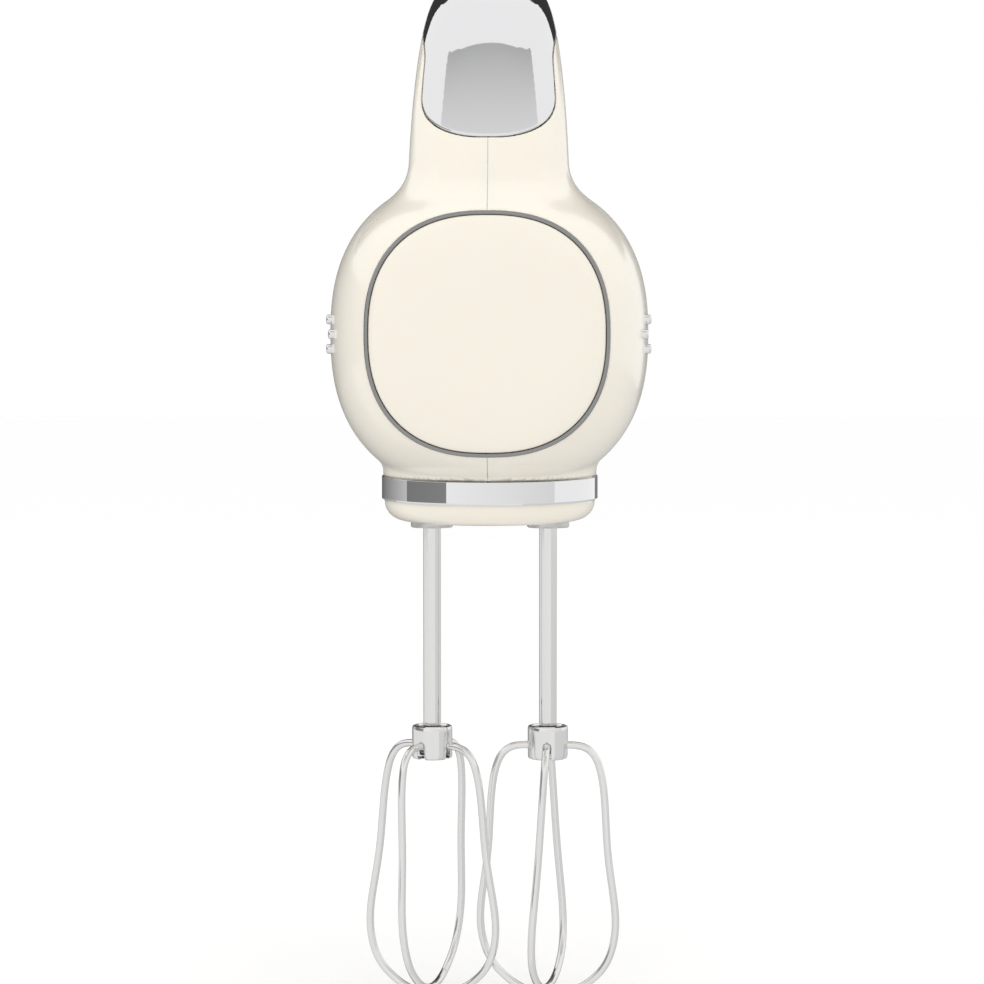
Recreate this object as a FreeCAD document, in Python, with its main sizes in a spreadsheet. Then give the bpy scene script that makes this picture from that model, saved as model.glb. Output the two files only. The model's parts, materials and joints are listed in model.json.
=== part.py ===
import FreeCAD, Part

import math
import operator
import os
from types import SimpleNamespace

import Sketcher
from FreeCAD import Placement, Rotation, Vector

# A hand mixer with two wire beaters, millimetres, +Z up.
# The origin is midway between the two beater axes, on the flat underside of the base.
# The nose points to -Y, the heel to +Y, and the casing splits into halves at X = 0.

doc = FreeCAD.newDocument("hand_mixer")
sheet = doc.addObject("Spreadsheet::Sheet", "sizes")

# Each driving size: its alias, its value in millimetres (or degrees, or a count), and what it is.
SIZES = [
    # barrel: a squircle section that rolls in to the nose and tapers to the heel
    ("barrel_half", 44.5, "half width and half height where the barrel is fullest"),
    ("barrel_power", 2.4, "superellipse power of the barrel's section"),
    ("barrel_z", 52.0, "height of the barrel's centre at its fullest station"),
    ("fullest_y", -2.0, "station where the barrel is fullest"),
    ("nose_y", -56.0, "flat seat of the nose cap"),
    ("nose_reach", 69.2, "length of the ellipse that rolls in to the nose"),
    ("nose_power", 2.5, "power of that ellipse"),
    ("tail_reach", 160.0, "length of the ellipse that tapers to the heel"),
    ("tail_squash", 0.24, "how much flatter than wide the tail gets"),
    ("tail_rise", 2.5, "how far the tail's centre rises"),
    ("heel_y", 143.0, "flat seat of the heel pad"),
    ("wall_thick", 2.4, "thickness of the moulded casing"),
    ("handle_wall", 4.0, "thickness of the casing in the handle, its bright cover included"),
    # handle: a tube of superellipse section along a curve of eight poles in the plane X = 0
    ("neck_foot_y", -27.0, "pole 1"), ("neck_foot_z", 76.0, "pole 1"),
    ("neck_y", -21.0, "pole 2"), ("neck_z", 103.0, "pole 2"),
    ("shoulder_y", -7.0, "pole 3"), ("shoulder_z", 140.0, "pole 3"),
    ("bar_front_y", 34.0, "pole 4"), ("bar_z", 141.4, "poles 4 and 5"),
    ("bar_rear_y", 78.0, "pole 5"),
    ("elbow_y", 124.0, "pole 6"), ("elbow_z", 138.0, "pole 6"),
    ("post_y", 128.0, "pole 7"), ("post_z", 100.0, "pole 7"),
    ("post_foot_y", 124.0, "pole 8"), ("post_foot_z", 68.0, "pole 8"),
    ("handle_power", 2.5, "superellipse power of the handle's section"),
    ("neck_half_wide", 22.4, "half width at the neck's foot"),
    ("neck_half_deep", 20.5, "half depth at the neck's foot"),
    ("bar_half_wide", 16.2, "half width of the grip"),
    ("bar_half_deep", 15.2, "half depth of the grip"),
    ("post_half_wide", 17.0, "half width at the rear post's foot"),
    ("post_half_deep", 15.5, "half depth at the rear post's foot"),
    ("bar_starts", 0.40, "share of the handle's curve where the grip begins"),
    ("bar_ends", 0.66, "share of the handle's curve where the grip ends"),
    # bright cover over the handle
    ("cover_thick", 1.6, "thickness of the handle cover"),
    ("cover_gap", 0.15, "gap between the cover's rim and the casing"),
    ("tongue_tip", 0.063, "share of the curve where the front tongue ends"),
    ("tongue_long", 0.045, "share of the curve over which a tongue rounds off"),
    ("tongue_rim", 0.62, "height of the rim on the neck, in half depths"),
    ("rim_falls", 0.140, "share of the curve where the rim starts to fall"),
    ("rim_low", 0.250, "share of the curve where the rim has fallen"),
    ("cover_rim", 0.08, "height of the rim on the grip, in half depths"),
    ("rim_rises", 0.74, "share of the curve where the rim starts to rise again"),
    ("rim_high", 0.84, "share of the curve where the rim has risen"),
    ("rear_tip", 0.90, "share of the curve where the rear tongue ends"),
    # foot of the body: skirt, band and base cap share one oval outline
    ("foot_half_wide", 30.1, "half width of the skirt"),
    ("foot_front", 41.5, "from the fullest station to the front of the skirt"),
    ("foot_rear", 50.0, "from the fullest station to the rear of the skirt"),
    ("foot_power", 2.15, "superellipse power of the oval"),
    ("skirt_top", 30.0, "height that the skirt reaches inside the barrel"),
    ("band_low", 5.8, "lower edge of the band"),
    ("band_high", 12.5, "upper edge of the band"),
    ("band_proud", 0.4, "how far the band stands out from the skirt"),
    ("band_thick", 1.5, "thickness of the band"),
    ("cap_inset", 0.4, "how far the base cap is inside the skirt's outline"),
    ("cap_round", 5.0, "rounding of the base cap's lower edge"),
    ("cap_floor", 3.0, "thickness of the base cap's floor"),
    # nose
    ("ring_wide", 1.1, "width of the nose ring"),
    ("ring_deep", 1.3, "how far the nose ring stands forward"),
    ("ring_gap", 0.1, "gap between ring and cap"),
    ("cap_dome", 4.0, "rise of the nose cap's dome"),
    ("nose_open", 28.0, "half size of the opening behind the nose cap"),
    ("nose_spigot", 2.0, "depth of the spigot behind the nose cap"),
    # beaters and their drive
    ("axle_half_gap", 16.5, "from the middle to each beater axis"),
    ("shaft_radius", 2.5, "beater shaft"),
    ("shaft_top", 44.0, "top end of the beater shaft"),
    ("collar_top", -59.7, "top rim of the collar"),
    ("collar_tall", 8.8, "height of the collar"),
    ("collar_radius", 5.4, "outside of the collar"),
    ("collar_wall", 0.8, "wall of the collar"),
    ("collar_cup", 3.0, "depth of the cup at the collar's top"),
    ("wire_radius", 1.05, "loop wire"),
    ("loop_exit_z", -65.1, "height at which the wires leave the collar"),
    ("loop_bottom_z", -137.0, "lowest point of the loops' centre line"),
    ("loop_radius", 19.9, "largest radius of a loop"),
    ("loop_twist", 14.0, "twist of a loop from collar to tip, degrees"),
    ("left_phase", -33.0, "angle of the left beater's first loop, degrees"),
    ("right_phase", -3.0, "angle of the right beater's first loop, degrees"),
    ("loop_step", 1.15, "half height between the two loops where they cross"),
    ("tang_half", 4.0, "half span of the drive tangs"),
    ("tang_thick", 1.4, "thickness of the drive tangs"),
    ("tang_low", 5.0, "lower end of the drive tangs"),
    ("tang_high", 12.0, "upper end of the drive tangs"),
    ("spindle_radius", 4.6, "outside of a spindle"),
    ("spindle_low", 4.2, "lower end of a spindle"),
    ("spindle_high", 66.0, "upper end of a spindle"),
    ("slide_gap", 0.10, "radial clearance of the beater shaft in its spindle"),
    ("run_gap", 0.05, "radial clearance of a running shaft in its bush"),
    ("ring_in", 5.0, "bore of a socket ring"),
    ("ring_out", 6.0, "outside of a socket ring"),
    ("ring_below", 2.8, "how far a socket ring stands below the base"),
    # gear train
    ("drive_z", 50.0, "height of the motor's axis and of the wheels' middle"),
    ("wheel_teeth", 30.0, "teeth of a worm wheel"),
    ("worm_starts", 2.0, "starts of the worm"),
    ("worm_pitch_radius", 3.5, "pitch radius of the worm"),
    ("tooth_add", 0.70, "height of a tooth above the pitch circle"),
    ("tooth_gap", 0.30, "gap between a tooth's tip and the other's root"),
    ("thread_share", 0.36, "thickness of the worm's thread at pitch, share of the pitch"),
    ("tooth_share", 0.36, "thickness of a wheel's tooth at pitch, share of the pitch"),
    ("wheel_wide", 7.0, "face width of a worm wheel"),
    ("worm_turns", 3.0, "length of the worm in leads"),
    ("hub_wide", 12.4, "length of a worm wheel's hub"),
    ("hub_radius", 7.2, "outside of a worm wheel's hub"),
    # gear case
    ("case_half_x", 34.0, "half width of the gear case"),
    ("case_half_y", 17.5, "half depth of the gear case"),
    ("case_wall", 2.4, "wall of the gear case"),
    ("case_low", 39.0, "underside of the gear case"),
    ("case_split", 57.0, "joint face of the gear case"),
    ("case_high", 60.0, "top of the gear case lid"),
    ("boss_low", 28.5, "lower end of the bosses that hold the lower bushes"),
    ("boss_radius", 9.4, "outside of those bosses"),
    ("bush_radius", 7.0, "outside of a spindle bush"),
    ("bush_tall", 8.0, "length of a spindle bush"),
    # motor
    ("motor_shaft_radius", 2.5, "armature shaft"),
    ("nose_shaft_radius", 1.6, "thin front end of the armature shaft, under the worm"),
    ("worm_long", 22.0, "length of the worm's sleeve"),
    ("motor_shaft_front", -20.0, "front end of the armature shaft"),
    ("motor_shaft_rear", 112.0, "rear end of the armature shaft"),
    ("core_front", 36.0, "front of the laminations"),
    ("core_long", 30.0, "length of the laminations"),
    ("armature_radius", 14.0, "outside of the armature"),
    ("air_gap", 0.6, "between armature and field"),
    ("field_half_x", 27.0, "half width of the field core"),
    ("field_half_z", 22.5, "half height of the field core"),
    ("yoke_thick", 5.0, "thickness of the field core's yoke"),
    ("pole_half", 8.0, "half height of a pole's neck"),
    ("shoe_thick", 2.0, "thickness of a pole shoe"),
    ("coil_reach", 7.0, "how far a coil reaches past the laminations"),
    ("commutator_y", 76.0, "front of the commutator"),
    ("commutator_long", 11.0, "length of the commutator"),
    ("commutator_radius", 9.0, "outside of the commutator"),
    ("fan_y", 93.0, "front of the cooling fan"),
    ("fan_long", 8.0, "length of the fan's blades"),
    ("fan_radius", 21.0, "outside of the fan"),
    ("fan_blades", 9.0, "blades of the fan"),
    ("bearing_radius", 6.5, "outside of a motor bearing"),
    ("bearing_long", 5.0, "length of a motor bearing"),
    ("bearing_y", 15.0, "inner face of the two bearings beside the worm"),
    ("bolt_x", 24.5, "from the middle to each motor bolt"),
    ("bracket_y", 104.5, "front face of the rear bracket"),
    ("bracket_thick", 2.5, "thickness of the rear bracket"),
    # eject linkage
    ("eject_y", 13.0, "station of the eject button"),
    ("eject_rod_y", -13.0, "station of the eject rod in the neck"),
    ("eject_radius", 5.6, "eject button"),
    ("eject_proud", 4.0, "how far the eject button stands out"),
    ("eject_arm_z", 132.0, "underside of the eject arm"),
    ("yoke_z", 76.5, "underside of the eject yoke"),
    ("yoke_tall", 3.0, "thickness of the eject yoke"),
    ("rod_radius", 2.4, "eject rod"),
    ("pin_head", 1.5, "thickness of an ejector pin's head"),
    ("spring_radius", 4.2, "mean radius of the eject spring"),
    ("spring_wire", 0.45, "wire radius of the eject spring"),
    ("spring_low", 106.0, "seat of the eject spring"),
    ("spring_high", 122.0, "top of the eject spring"),
    # controls
    ("deck_y", 45.5, "middle of the control deck"),
    ("deck_half_long", 43.0, "half length of the control deck"),
    ("deck_half_wide", 9.5, "half width of the control deck"),
    ("lens_y", 33.0, "middle of the display lens"),
    ("lens_half_long", 8.5, "half length of the display lens"),
    ("lens_half_wide", 6.2, "half width of the display lens"),
    ("lens_proud", 0.3, "how far the lens stands out of the deck"),
    ("slot_front", 48.0, "front end of the speed slot"),
    ("slot_rear", 70.0, "rear end of the speed slot"),
    ("slot_half", 1.5, "half width of the speed slot"),
    ("slider_half_long", 3.6, "half length of the speed slider's knob"),
    ("slider_half_wide", 6.4, "half width of the speed slider's knob"),
    ("slider_tall", 3.4, "height of the speed slider's knob"),
    ("turbo_y", 80.5, "station of the turbo button"),
    ("turbo_radius", 5.2, "turbo button"),
    ("turbo_proud", 1.6, "how far the turbo button stands out"),
    ("turbo_travel", 1.2, "travel of the turbo button"),
    ("button_gap", 0.3, "gap round a button"),
    ("board_z", 141.0, "underside of the control board"),
    ("board_front", 22.0, "front edge of the control board"),
    ("board_rear", 92.0, "rear edge of the control board"),
    ("board_half", 10.5, "half width of the control board"),
    ("board_thick", 1.6, "thickness of the control board"),
    # trim and fittings
    ("badge_half_long", 27.0, "half length of the longest side stripe"),
    ("badge_y", -6.0, "middle of the side stripes"),
    ("stripe_tall", 2.6, "height of a side stripe"),
    ("stripe_pitch", 4.05, "height from one stripe to the next"),
    ("stripe_proud", 1.5, "how far a stripe stands out"),
    ("heel_thick", 3.0, "thickness of the heel pad"),
    ("heel_inset", 1.5, "how far the heel pad is inside the heel's outline"),
    ("gland_z", 92.0, "height of the cord gland"),
    ("gland_radius", 6.5, "outside of the cord gland's collar"),
    ("gland_bore", 3.3, "bore of the cord gland"),
    ("gland_long", 13.0, "length of the cord gland"),
    ("gland_rear", 143.0, "rear end of the cord gland"),
    ("vent_count", 6.0, "air slots on each side"),
    ("vent_y", 84.0, "first air slot"),
    ("vent_pitch", 5.0, "from one air slot to the next"),
    ("vent_half", 1.1, "half width of an air slot"),
    ("vent_low", 34.0, "lower end of the air slots"),
    ("vent_high", 47.0, "upper end of the air slots"),
    ("screw_radius", 1.5, "shank of a screw"),
    ("screw_head", 2.8, "head of a screw"),
    ("screw_boss", 4.4, "boss round a screw"),
    ("plug_deep", 2.0, "thickness of a screw plug"),
]

for row, (alias, value, meaning) in enumerate(SIZES, start=1):
    sheet.set(f"A{row}", alias)
    sheet.set(f"B{row}", str(value))
    sheet.set(f"C{row}", meaning)
    sheet.setAlias(f"B{row}", alias)
doc.recompute()


class Tied(float):
    """A length that also remembers the spreadsheet expression it comes from."""

    def __new__(cls, value, text):
        made = super().__new__(cls, value)
        made.text = text
        return made

    def __neg__(self):
        return Tied(-float(self), f"(-{self.text})")


def text_of(value):
    """The expression behind a number: itself, if it is a plain one."""
    return getattr(value, "text", repr(float(value)))


def tie(method, sign, work):
    """Gives Tied one arithmetic operator and its reflected twin."""

    def forward(self, other):
        return Tied(work(float(self), float(other)), f"({text_of(self)} {sign} {text_of(other)})")

    def reflected(self, other):
        return Tied(work(float(other), float(self)), f"({text_of(other)} {sign} {text_of(self)})")

    setattr(Tied, f"__{method}__", forward)
    setattr(Tied, f"__r{method}__", reflected)


tie("add", "+", operator.add)
tie("sub", "-", operator.sub)
tie("mul", "*", operator.mul)
tie("truediv", "/", operator.truediv)

s = SimpleNamespace(**{a: Tied(sheet.get(a), f"sizes.{a}") for a, _, _ in SIZES})

X_DIR, Y_DIR, Z_DIR = Vector(1, 0, 0), Vector(0, 1, 0), Vector(0, 0, 1)
ALONG_Y = Rotation(X_DIR, -90)  # lays a lathe axis along +Y
ALONG_X = Rotation(Y_DIR, 90)  # lays a lathe axis along +X
FAR = 90.0  # well outside the casing
nodes = []  # every sub-part that is exported


def keep(piece, label):
    """Names a finished sub-part and lists it for export."""
    piece.Label = label
    nodes.append(piece)
    return piece


def tie_property(piece, name, value):
    """Sets a property, and binds it when its value comes from the sheet."""
    if isinstance(value, Tied):
        piece.setExpression(name, value.text)
    else:
        setattr(piece, name, value)


def place(piece, x, y, z, turn=None):
    """Puts a piece at a place that is bound to the sheet, and turns its axis."""
    piece.Placement = Placement(Vector(x, y, z), turn if turn is not None else Rotation())
    for axis, value in zip("xyz", (x, y, z)):
        if isinstance(value, Tied):
            piece.setExpression(f"Placement.Base.{axis}", value.text)
    return piece


# ---------------------------------------------------------------- pieces bound to the sheet


def sketch_in(body, name, role):
    """A new sketch on one of the body's own origin planes."""
    sketch = body.newObject("Sketcher::SketchObject", name)
    plane = [f for f in body.Origin.OriginFeatures if f.Role == role][0]
    sketch.AttachmentSupport = [(plane, "")]
    sketch.MapMode = "FlatFace"
    return sketch


def bind(sketch, kind, geometry, end, value):
    """A signed distance from the sketch's origin to a point, bound to the sheet."""
    rule = Sketcher.Constraint(kind, -1, 1, geometry, end, float(value))
    sketch.setExpression(f"Constraints[{sketch.addConstraint(rule)}]", text_of(value))


def outline(sketch, corners):
    """A closed polygon whose every corner is bound to the sheet."""
    points = [Vector(x, y, 0) for x, y in corners]
    first = sketch.GeometryCount
    for here, there in zip(points, points[1:] + points[:1]):
        sketch.addGeometry(Part.LineSegment(here, there), False)
    count = len(points)
    for i in range(count):
        follows = first + (i + 1) % count
        sketch.addConstraint(Sketcher.Constraint("Coincident", first + i, 2, follows, 1))
    for i, (x, y) in enumerate(corners):
        bind(sketch, "DistanceX", first + i, 1, x)
        bind(sketch, "DistanceY", first + i, 1, y)


def turned(name, corners):
    """A lathe-turned body: (radius, height) corners spun about Z."""
    body = doc.addObject("PartDesign::Body", name)
    sketch = sketch_in(body, name + "_outline", "XZ_Plane")
    outline(sketch, corners)
    spin = body.newObject("PartDesign::Revolution", name + "_spin")
    spin.Profile = sketch
    spin.ReferenceAxis = (sketch, ["V_Axis"])
    spin.Angle = 360
    return body


def tube(name, inside, outside, low, high):
    """A turned ring between two radii and two heights."""
    return turned(name, [(inside, low), (outside, low), (outside, high), (inside, high)])


def brick(name, x_low, x_high, y_low, y_high, z_low, z_high):
    """A box whose corners are bound to the sheet."""
    piece = doc.addObject("Part::Box", name)
    tie_property(piece, "Length", x_high - x_low)
    tie_property(piece, "Width", y_high - y_low)
    tie_property(piece, "Height", z_high - z_low)
    return place(piece, x_low, y_low, z_low)


def joined(name, pieces):
    """Several bound pieces made one."""
    piece = doc.addObject("Part::MultiFuse", name)
    piece.Shapes = pieces
    return piece


def carved(name, base, tools):
    """A bound piece with other pieces taken out of it."""
    piece = doc.addObject("Part::Cut", name)
    piece.Base = base
    piece.Tool = tools[0] if len(tools) == 1 else joined(name + "_tools", tools)
    return piece


# ---------------------------------------------------------------- pieces made with Part's functions


def group(label, shapes):
    """One sub-part made of one or several separate solids."""
    piece = doc.addObject("Part::Feature", label)
    solids = [solid for shape in shapes for solid in shape.Solids]
    piece.Shape = solids[0] if len(solids) == 1 else Part.makeCompound(solids)
    return keep(piece, label)


def block(x_low, x_high, y_low, y_high, z_low, z_high):
    """A plain box between two corners."""
    return Part.makeBox(x_high - x_low, y_high - y_low, z_high - z_low, Vector(x_low, y_low, z_low))


def disc(radius, x, y, z, length, along=Z_DIR):
    """A plain cylinder."""
    return Part.makeCylinder(radius, length, Vector(x, y, z), along)


def copies(shape, places):
    """The same shape at several placements."""
    made = []
    for spot in places:
        one = shape.copy()
        one.Placement = spot.multiply(shape.Placement)
        made.append(one)
    return made


def standing(spots):
    """Unturned placements at (x, y) spots on the base plane."""
    return [Placement(Vector(x, y, 0), Rotation()) for x, y in spots]


# ---------------------------------------------------------------- outer form


def superellipse(half_a, half_b, power, centre, a_dir, b_dir, count=32):
    """Points round |a/half_a|^power + |b/half_b|^power = 1 about centre."""
    points = []
    for i in range(count):
        turn = 2 * math.pi * (i + 0.5) / count
        c, s = math.cos(turn), math.sin(turn)
        a = half_a * math.copysign(abs(c) ** (2 / power), c)
        b = half_b * math.copysign(abs(s) ** (2 / power), s)
        points.append(centre + a_dir * a + b_dir * b)
    return points


def upright(solid):
    """The solid with its faces turned outward."""
    if solid.Volume < 0:
        solid.reverse()
    return solid


def skinned(rings):
    """A solid whose side passes smoothly through closed rings of points, with flat ends."""
    surface = Part.BSplineSurface()
    surface.interpolate([ring + ring[:1] for ring in rings])
    first, last, _, _ = surface.bounds()
    ends = [Part.Face(Part.Wire([surface.uIso(u).toShape()])) for u in (first, last)]
    shell = Part.makeShell([surface.toShape()] + ends)
    shell.sewShape()
    return upright(Part.Solid(Part.Shell(shell.Faces)))


def prism(points, along):
    """A smooth closed curve through the points, drawn out along a vector."""
    curve = Part.BSplineCurve()
    curve.interpolate(Points=points, PeriodicFlag=True)
    return Part.Face(Part.Wire([curve.toShape()])).extrude(along)


def barrel_section(y):
    """Half width, half height and centre height of the barrel at a station."""
    if y < s.fullest_y:
        power = s.nose_power
        share = (s.fullest_y - y) / s.nose_reach
        half = s.barrel_half * (1 - share**power) ** (1 / power)
        return half, half, s.barrel_z
    share = (y - s.fullest_y) / s.tail_reach
    half = s.barrel_half * math.sqrt(1 - share**2)
    high = half * (1 - s.tail_squash * share)
    return half, high, s.barrel_z + s.tail_rise * share


def barrel(inset, front, rear):
    """The barrel between two stations, its skin moved in by inset."""
    middle = s.fullest_y
    stations = [front + (middle - front) * (1 - math.cos(math.pi / 2 * i / 5)) for i in range(5)]
    stations += [middle + (rear - middle) * math.sin(math.pi / 2 * i / 6) for i in range(7)]
    rings = []
    for y in stations:
        wide, high, z = barrel_section(y)
        centre = Vector(0, y, z)
        power = s.barrel_power
        rings.append(superellipse(wide - inset, high - inset, power, centre, X_DIR, Z_DIR))
    return skinned(rings)


POLES = [
    (s.neck_foot_y, s.neck_foot_z),
    (s.neck_y, s.neck_z),
    (s.shoulder_y, s.shoulder_z),
    (s.bar_front_y, s.bar_z),
    (s.bar_rear_y, s.bar_z),
    (s.elbow_y, s.elbow_z),
    (s.post_y, s.post_z),
    (s.post_foot_y, s.post_foot_z),
]
handle_curve = Part.BSplineCurve()
handle_curve.buildFromPoles([Vector(0, y, z) for y, z in POLES], False, 3)


def ease(low, high, share):
    """0 below low, 1 above high, and a smooth step between."""
    t = min(1.0, max(0.0, (share - low) / (high - low)))
    return t * t * (3 - 2 * t)


def handle_frame(share):
    """Centre, outward direction, half depth and half width at a share of the handle's curve."""
    low, high = handle_curve.FirstParameter, handle_curve.LastParameter
    where = low + (high - low) * share
    along = handle_curve.tangent(where)[0]
    outward = Vector(0, -along.z, along.y)
    to_bar = ease(0.0, s.bar_starts, share)
    to_post = ease(s.bar_ends, 1.0, share)
    half = {}
    for way in ("deep", "wide"):
        neck, bar, post = (getattr(s, f"{part}_half_{way}") for part in ("neck", "bar", "post"))
        half[way] = neck + (bar - neck) * to_bar + (post - bar) * to_post
    return handle_curve.value(where), outward, half["deep"], half["wide"]


def handle(inset, count=25):
    """The handle from the neck's foot to the rear post's foot, its skin moved in by inset."""
    rings = []
    for i in range(count):
        centre, outward, deep, wide = handle_frame(i / (count - 1))
        power = s.handle_power
        rings.append(superellipse(wide - inset, deep - inset, power, centre, X_DIR, outward))
    return skinned(rings)


def oval(inset, low, high):
    """A prism on the foot's oval outline, moved in by inset: half an oval in front, half behind."""
    rings = []
    for z in (low, high):
        ring = []
        for point in superellipse(1, 1, s.foot_power, Vector(0, 0, z), X_DIR, Y_DIR, 48):
            reach = s.foot_rear if point.y > 0 else s.foot_front
            x = point.x * (s.foot_half_wide - inset)
            y = s.fullest_y + point.y * (reach - inset)
            ring.append(Vector(x, y, z))
        rings.append(ring)
    return prism(rings[0], Z_DIR * (high - low))


def rim_height(share):
    """Height of the cover's rim above the handle's centre line, in half depths."""
    fallen = ease(s.rim_falls, s.rim_low, share) - ease(s.rim_rises, s.rim_high, share)
    height = s.tongue_rim + (s.cover_rim - s.tongue_rim) * fallen
    for end, way in ((s.tongue_tip, 1), (s.rear_tip, -1)):
        inside = min(1.0, max(0.0, way * (share - end) / s.tongue_long))
        height = 1 - (1 - height) * math.sin(math.pi / 2 * inside)
    return height


def cover_knife(gap):
    """A prism across the handle that holds everything above the cover's rim."""
    tip, rear = s.tongue_tip, s.rear_tip
    count = 40
    edge = []
    for i in range(count + 1):
        share = tip + (rear - tip) * (1 - math.cos(math.pi * i / count)) / 2
        centre, outward, deep, _ = handle_frame(share)
        edge.append(centre + outward * (rim_height(share) * deep - gap))
    front_out = handle_frame(tip)[1]
    rear_out = handle_frame(rear)[1]
    front_far = edge[0] + front_out * 40
    rear_far = edge[-1] + rear_out * 40
    curve = Part.BSplineCurve()
    curve.interpolate(edge)
    sides = [edge[-1], rear_far, Vector(0, rear_far.y, 240), Vector(0, front_far.y, 240)]
    sides += [front_far, edge[0]]
    lines = [Part.LineSegment(p, q).toShape() for p, q in zip(sides, sides[1:])]
    face = Part.Face(Part.Wire([curve.toShape()] + lines))
    knife = face.extrude(Vector(80, 0, 0))
    knife.translate(Vector(-40, 0, 0))
    return knife

# ---------------------------------------------------------------- casing

wall = s.wall_thick
barrel_outer = barrel(0, s.nose_y, s.heel_y)
handle_outer = handle(0)
skirt_outer = oval(0, s.band_high, s.skirt_top)
outer = barrel_outer.fuse([handle_outer, skirt_outer])

hollow = barrel(wall, s.nose_y + wall, s.heel_y - wall).fuse(
    [handle(s.handle_wall), oval(wall, s.band_high - 1, s.skirt_top)]
)
under_band = block(-FAR, FAR, -FAR, 2 * FAR, -FAR, s.band_high)

# Screws join the two halves; each entry is (y, z) and the skin that its plug follows.
SCREW_PLACES = [
    (-38.0, 80.0, barrel),
    (70.0, 81.0, barrel),
    (130.0, 56.0, barrel),
    (74.0, 22.5, barrel),
    (-27.0, 98.0, handle),
    (108.0, 134.0, handle),
]
SCREW_SEAT, SCREW_END = 12.0, 10.0
bosses = [disc(s.screw_boss, -FAR, y, z, 2 * FAR, X_DIR) for y, z, _ in SCREW_PLACES]

# Bosses for the screws that come up from the base.
BASE_SCREWS = [(-17.0, -24.0), (17.0, -24.0), (-16.0, 30.0), (16.0, 30.0)]
bosses += [disc(s.screw_boss, x, y, s.band_high, 10) for x, y in BASE_SCREWS]

# A rib ties each of those bosses to the wall beside it.
RIB_HALF = 1.2
for x, y in BASE_SCREWS:
    wall_side = math.copysign(FAR, x)
    low_x, high_x = min(x, wall_side), max(x, wall_side)
    bosses.append(block(low_x, high_x, y - RIB_HALF, y + RIB_HALF, s.band_high, s.band_high + 10))

# Rails under the control board and a shelf that seats the eject spring.
RAIL_IN, RAIL_TALL = 9.3, 2.4
rails = [
    block(side - 4, side + 4, s.board_front + 2, s.board_rear - 2, s.board_z - RAIL_TALL, s.board_z)
    for side in (-RAIL_IN - 4, RAIL_IN + 4)
]
SHELF_THICK = 2.4
shelf = block(-FAR, FAR, s.eject_rod_y - 9, 2, s.spring_low - SHELF_THICK, s.spring_low)
shelf = shelf.common(handle_outer)

casing = outer.cut([hollow, under_band])
inner_form = [boss.common(outer) for boss in bosses + rails] + [shelf]
casing = casing.fuse(inner_form).cut(under_band)

# The cover's own volume, and a slightly larger one that leaves a gap round it.
cover_body = handle_outer.cut(handle(s.cover_thick)).common(cover_knife(0))
cover_seat = handle(-1).cut(handle(s.cover_thick + s.cover_gap)).common(cover_knife(s.cover_gap))


def top_at(y):
    """Height of the handle's upper skin above a station."""
    line = Part.makeLine(Vector(0, y, 100), Vector(0, y, 200))
    return handle_outer.common(line).BoundBox.ZMax


def stadium(y_middle, half_long, half_wide, z_low, z_high):
    """An upright prism with round ends, long along Y."""
    straight = half_long - half_wide
    ends = [disc(half_wide, 0, y_middle + way * straight, z_low, z_high - z_low) for way in (-1, 1)]
    middle = block(-half_wide, half_wide, y_middle - straight, y_middle + straight, z_low, z_high)
    return middle.fuse(ends).removeSplitter()


HIGH, MID = 175.0, 140.0
gap = s.button_gap
eject_hole = disc(s.eject_radius + gap, 0, s.eject_y, MID, HIGH - MID)
turbo_hole = disc(s.turbo_radius + gap, 0, s.turbo_y, MID, HIGH - MID)
slot_middle = (s.slot_front + s.slot_rear) / 2
slot_hole = stadium(slot_middle, (s.slot_rear - s.slot_front) / 2, s.slot_half, MID, HIGH)
window = stadium(s.lens_y, s.lens_half_long - 1, s.lens_half_wide - 1, MID + 5, HIGH)
top_holes = [eject_hole, turbo_hole, slot_hole, window]

vents = []
for i in range(int(s.vent_count)):
    y = s.vent_y + s.vent_pitch * i
    vents.append(block(-FAR, FAR, y - s.vent_half, y + s.vent_half, s.vent_low, s.vent_high))

gland_neck = s.gland_radius - 1.3
GLAND_RIM = 2.8
gland_hole = disc(gland_neck + 0.1, 0, s.gland_rear - s.gland_long - 4, s.gland_z, 30, Y_DIR)
gland_hole = gland_hole.fuse(
    disc(s.gland_radius + 0.1, 0, s.gland_rear - GLAND_RIM, s.gland_z, 20, Y_DIR)
)


def nose_prism(inset, y_low, y_high):
    """A squircle prism under the nose, inset from the nose seat's outline."""
    half, _, z = barrel_section(s.nose_y)
    ring = superellipse(half - inset, half - inset, s.barrel_power, Vector(0, y_low, z), X_DIR, Z_DIR)
    return prism(ring, Y_DIR * (y_high - y_low))


nose_half = barrel_section(s.nose_y)[0]
nose_hole = nose_prism(nose_half - s.nose_open, s.nose_y - 1, s.nose_y + 10)
rod_hole = disc(s.rod_radius + 0.3, 0, s.eject_rod_y, s.spring_low - 5, 10)
cuts = [cover_seat, gland_hole, nose_hole, rod_hole] + top_holes + vents
cuts += [disc(s.screw_radius, x, y, s.band_high - 1, 9) for x, y in BASE_SCREWS]
casing = casing.cut(cuts)
cuts_left = [disc(s.screw_radius + 0.2, -FAR, y, z, FAR, X_DIR) for y, z, _ in SCREW_PLACES]
cuts_left += [
    disc(s.screw_head + 0.2, -FAR, y, z, FAR - SCREW_SEAT, X_DIR) for y, z, _ in SCREW_PLACES
]
cuts_right = [disc(s.screw_radius, 0, y, z, SCREW_END + 1, X_DIR) for y, z, _ in SCREW_PLACES]
half_space = block(0, 2 * FAR, -2 * FAR, 3 * FAR, -2 * FAR, 3 * FAR)
right_half = casing.common(half_space).cut(cuts_right)
left_half = casing.cut(half_space).cut(cuts_left)


def largest(shape):
    """The biggest solid of a shape."""
    return max(shape.Solids, key=lambda solid: solid.Volume)


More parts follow.
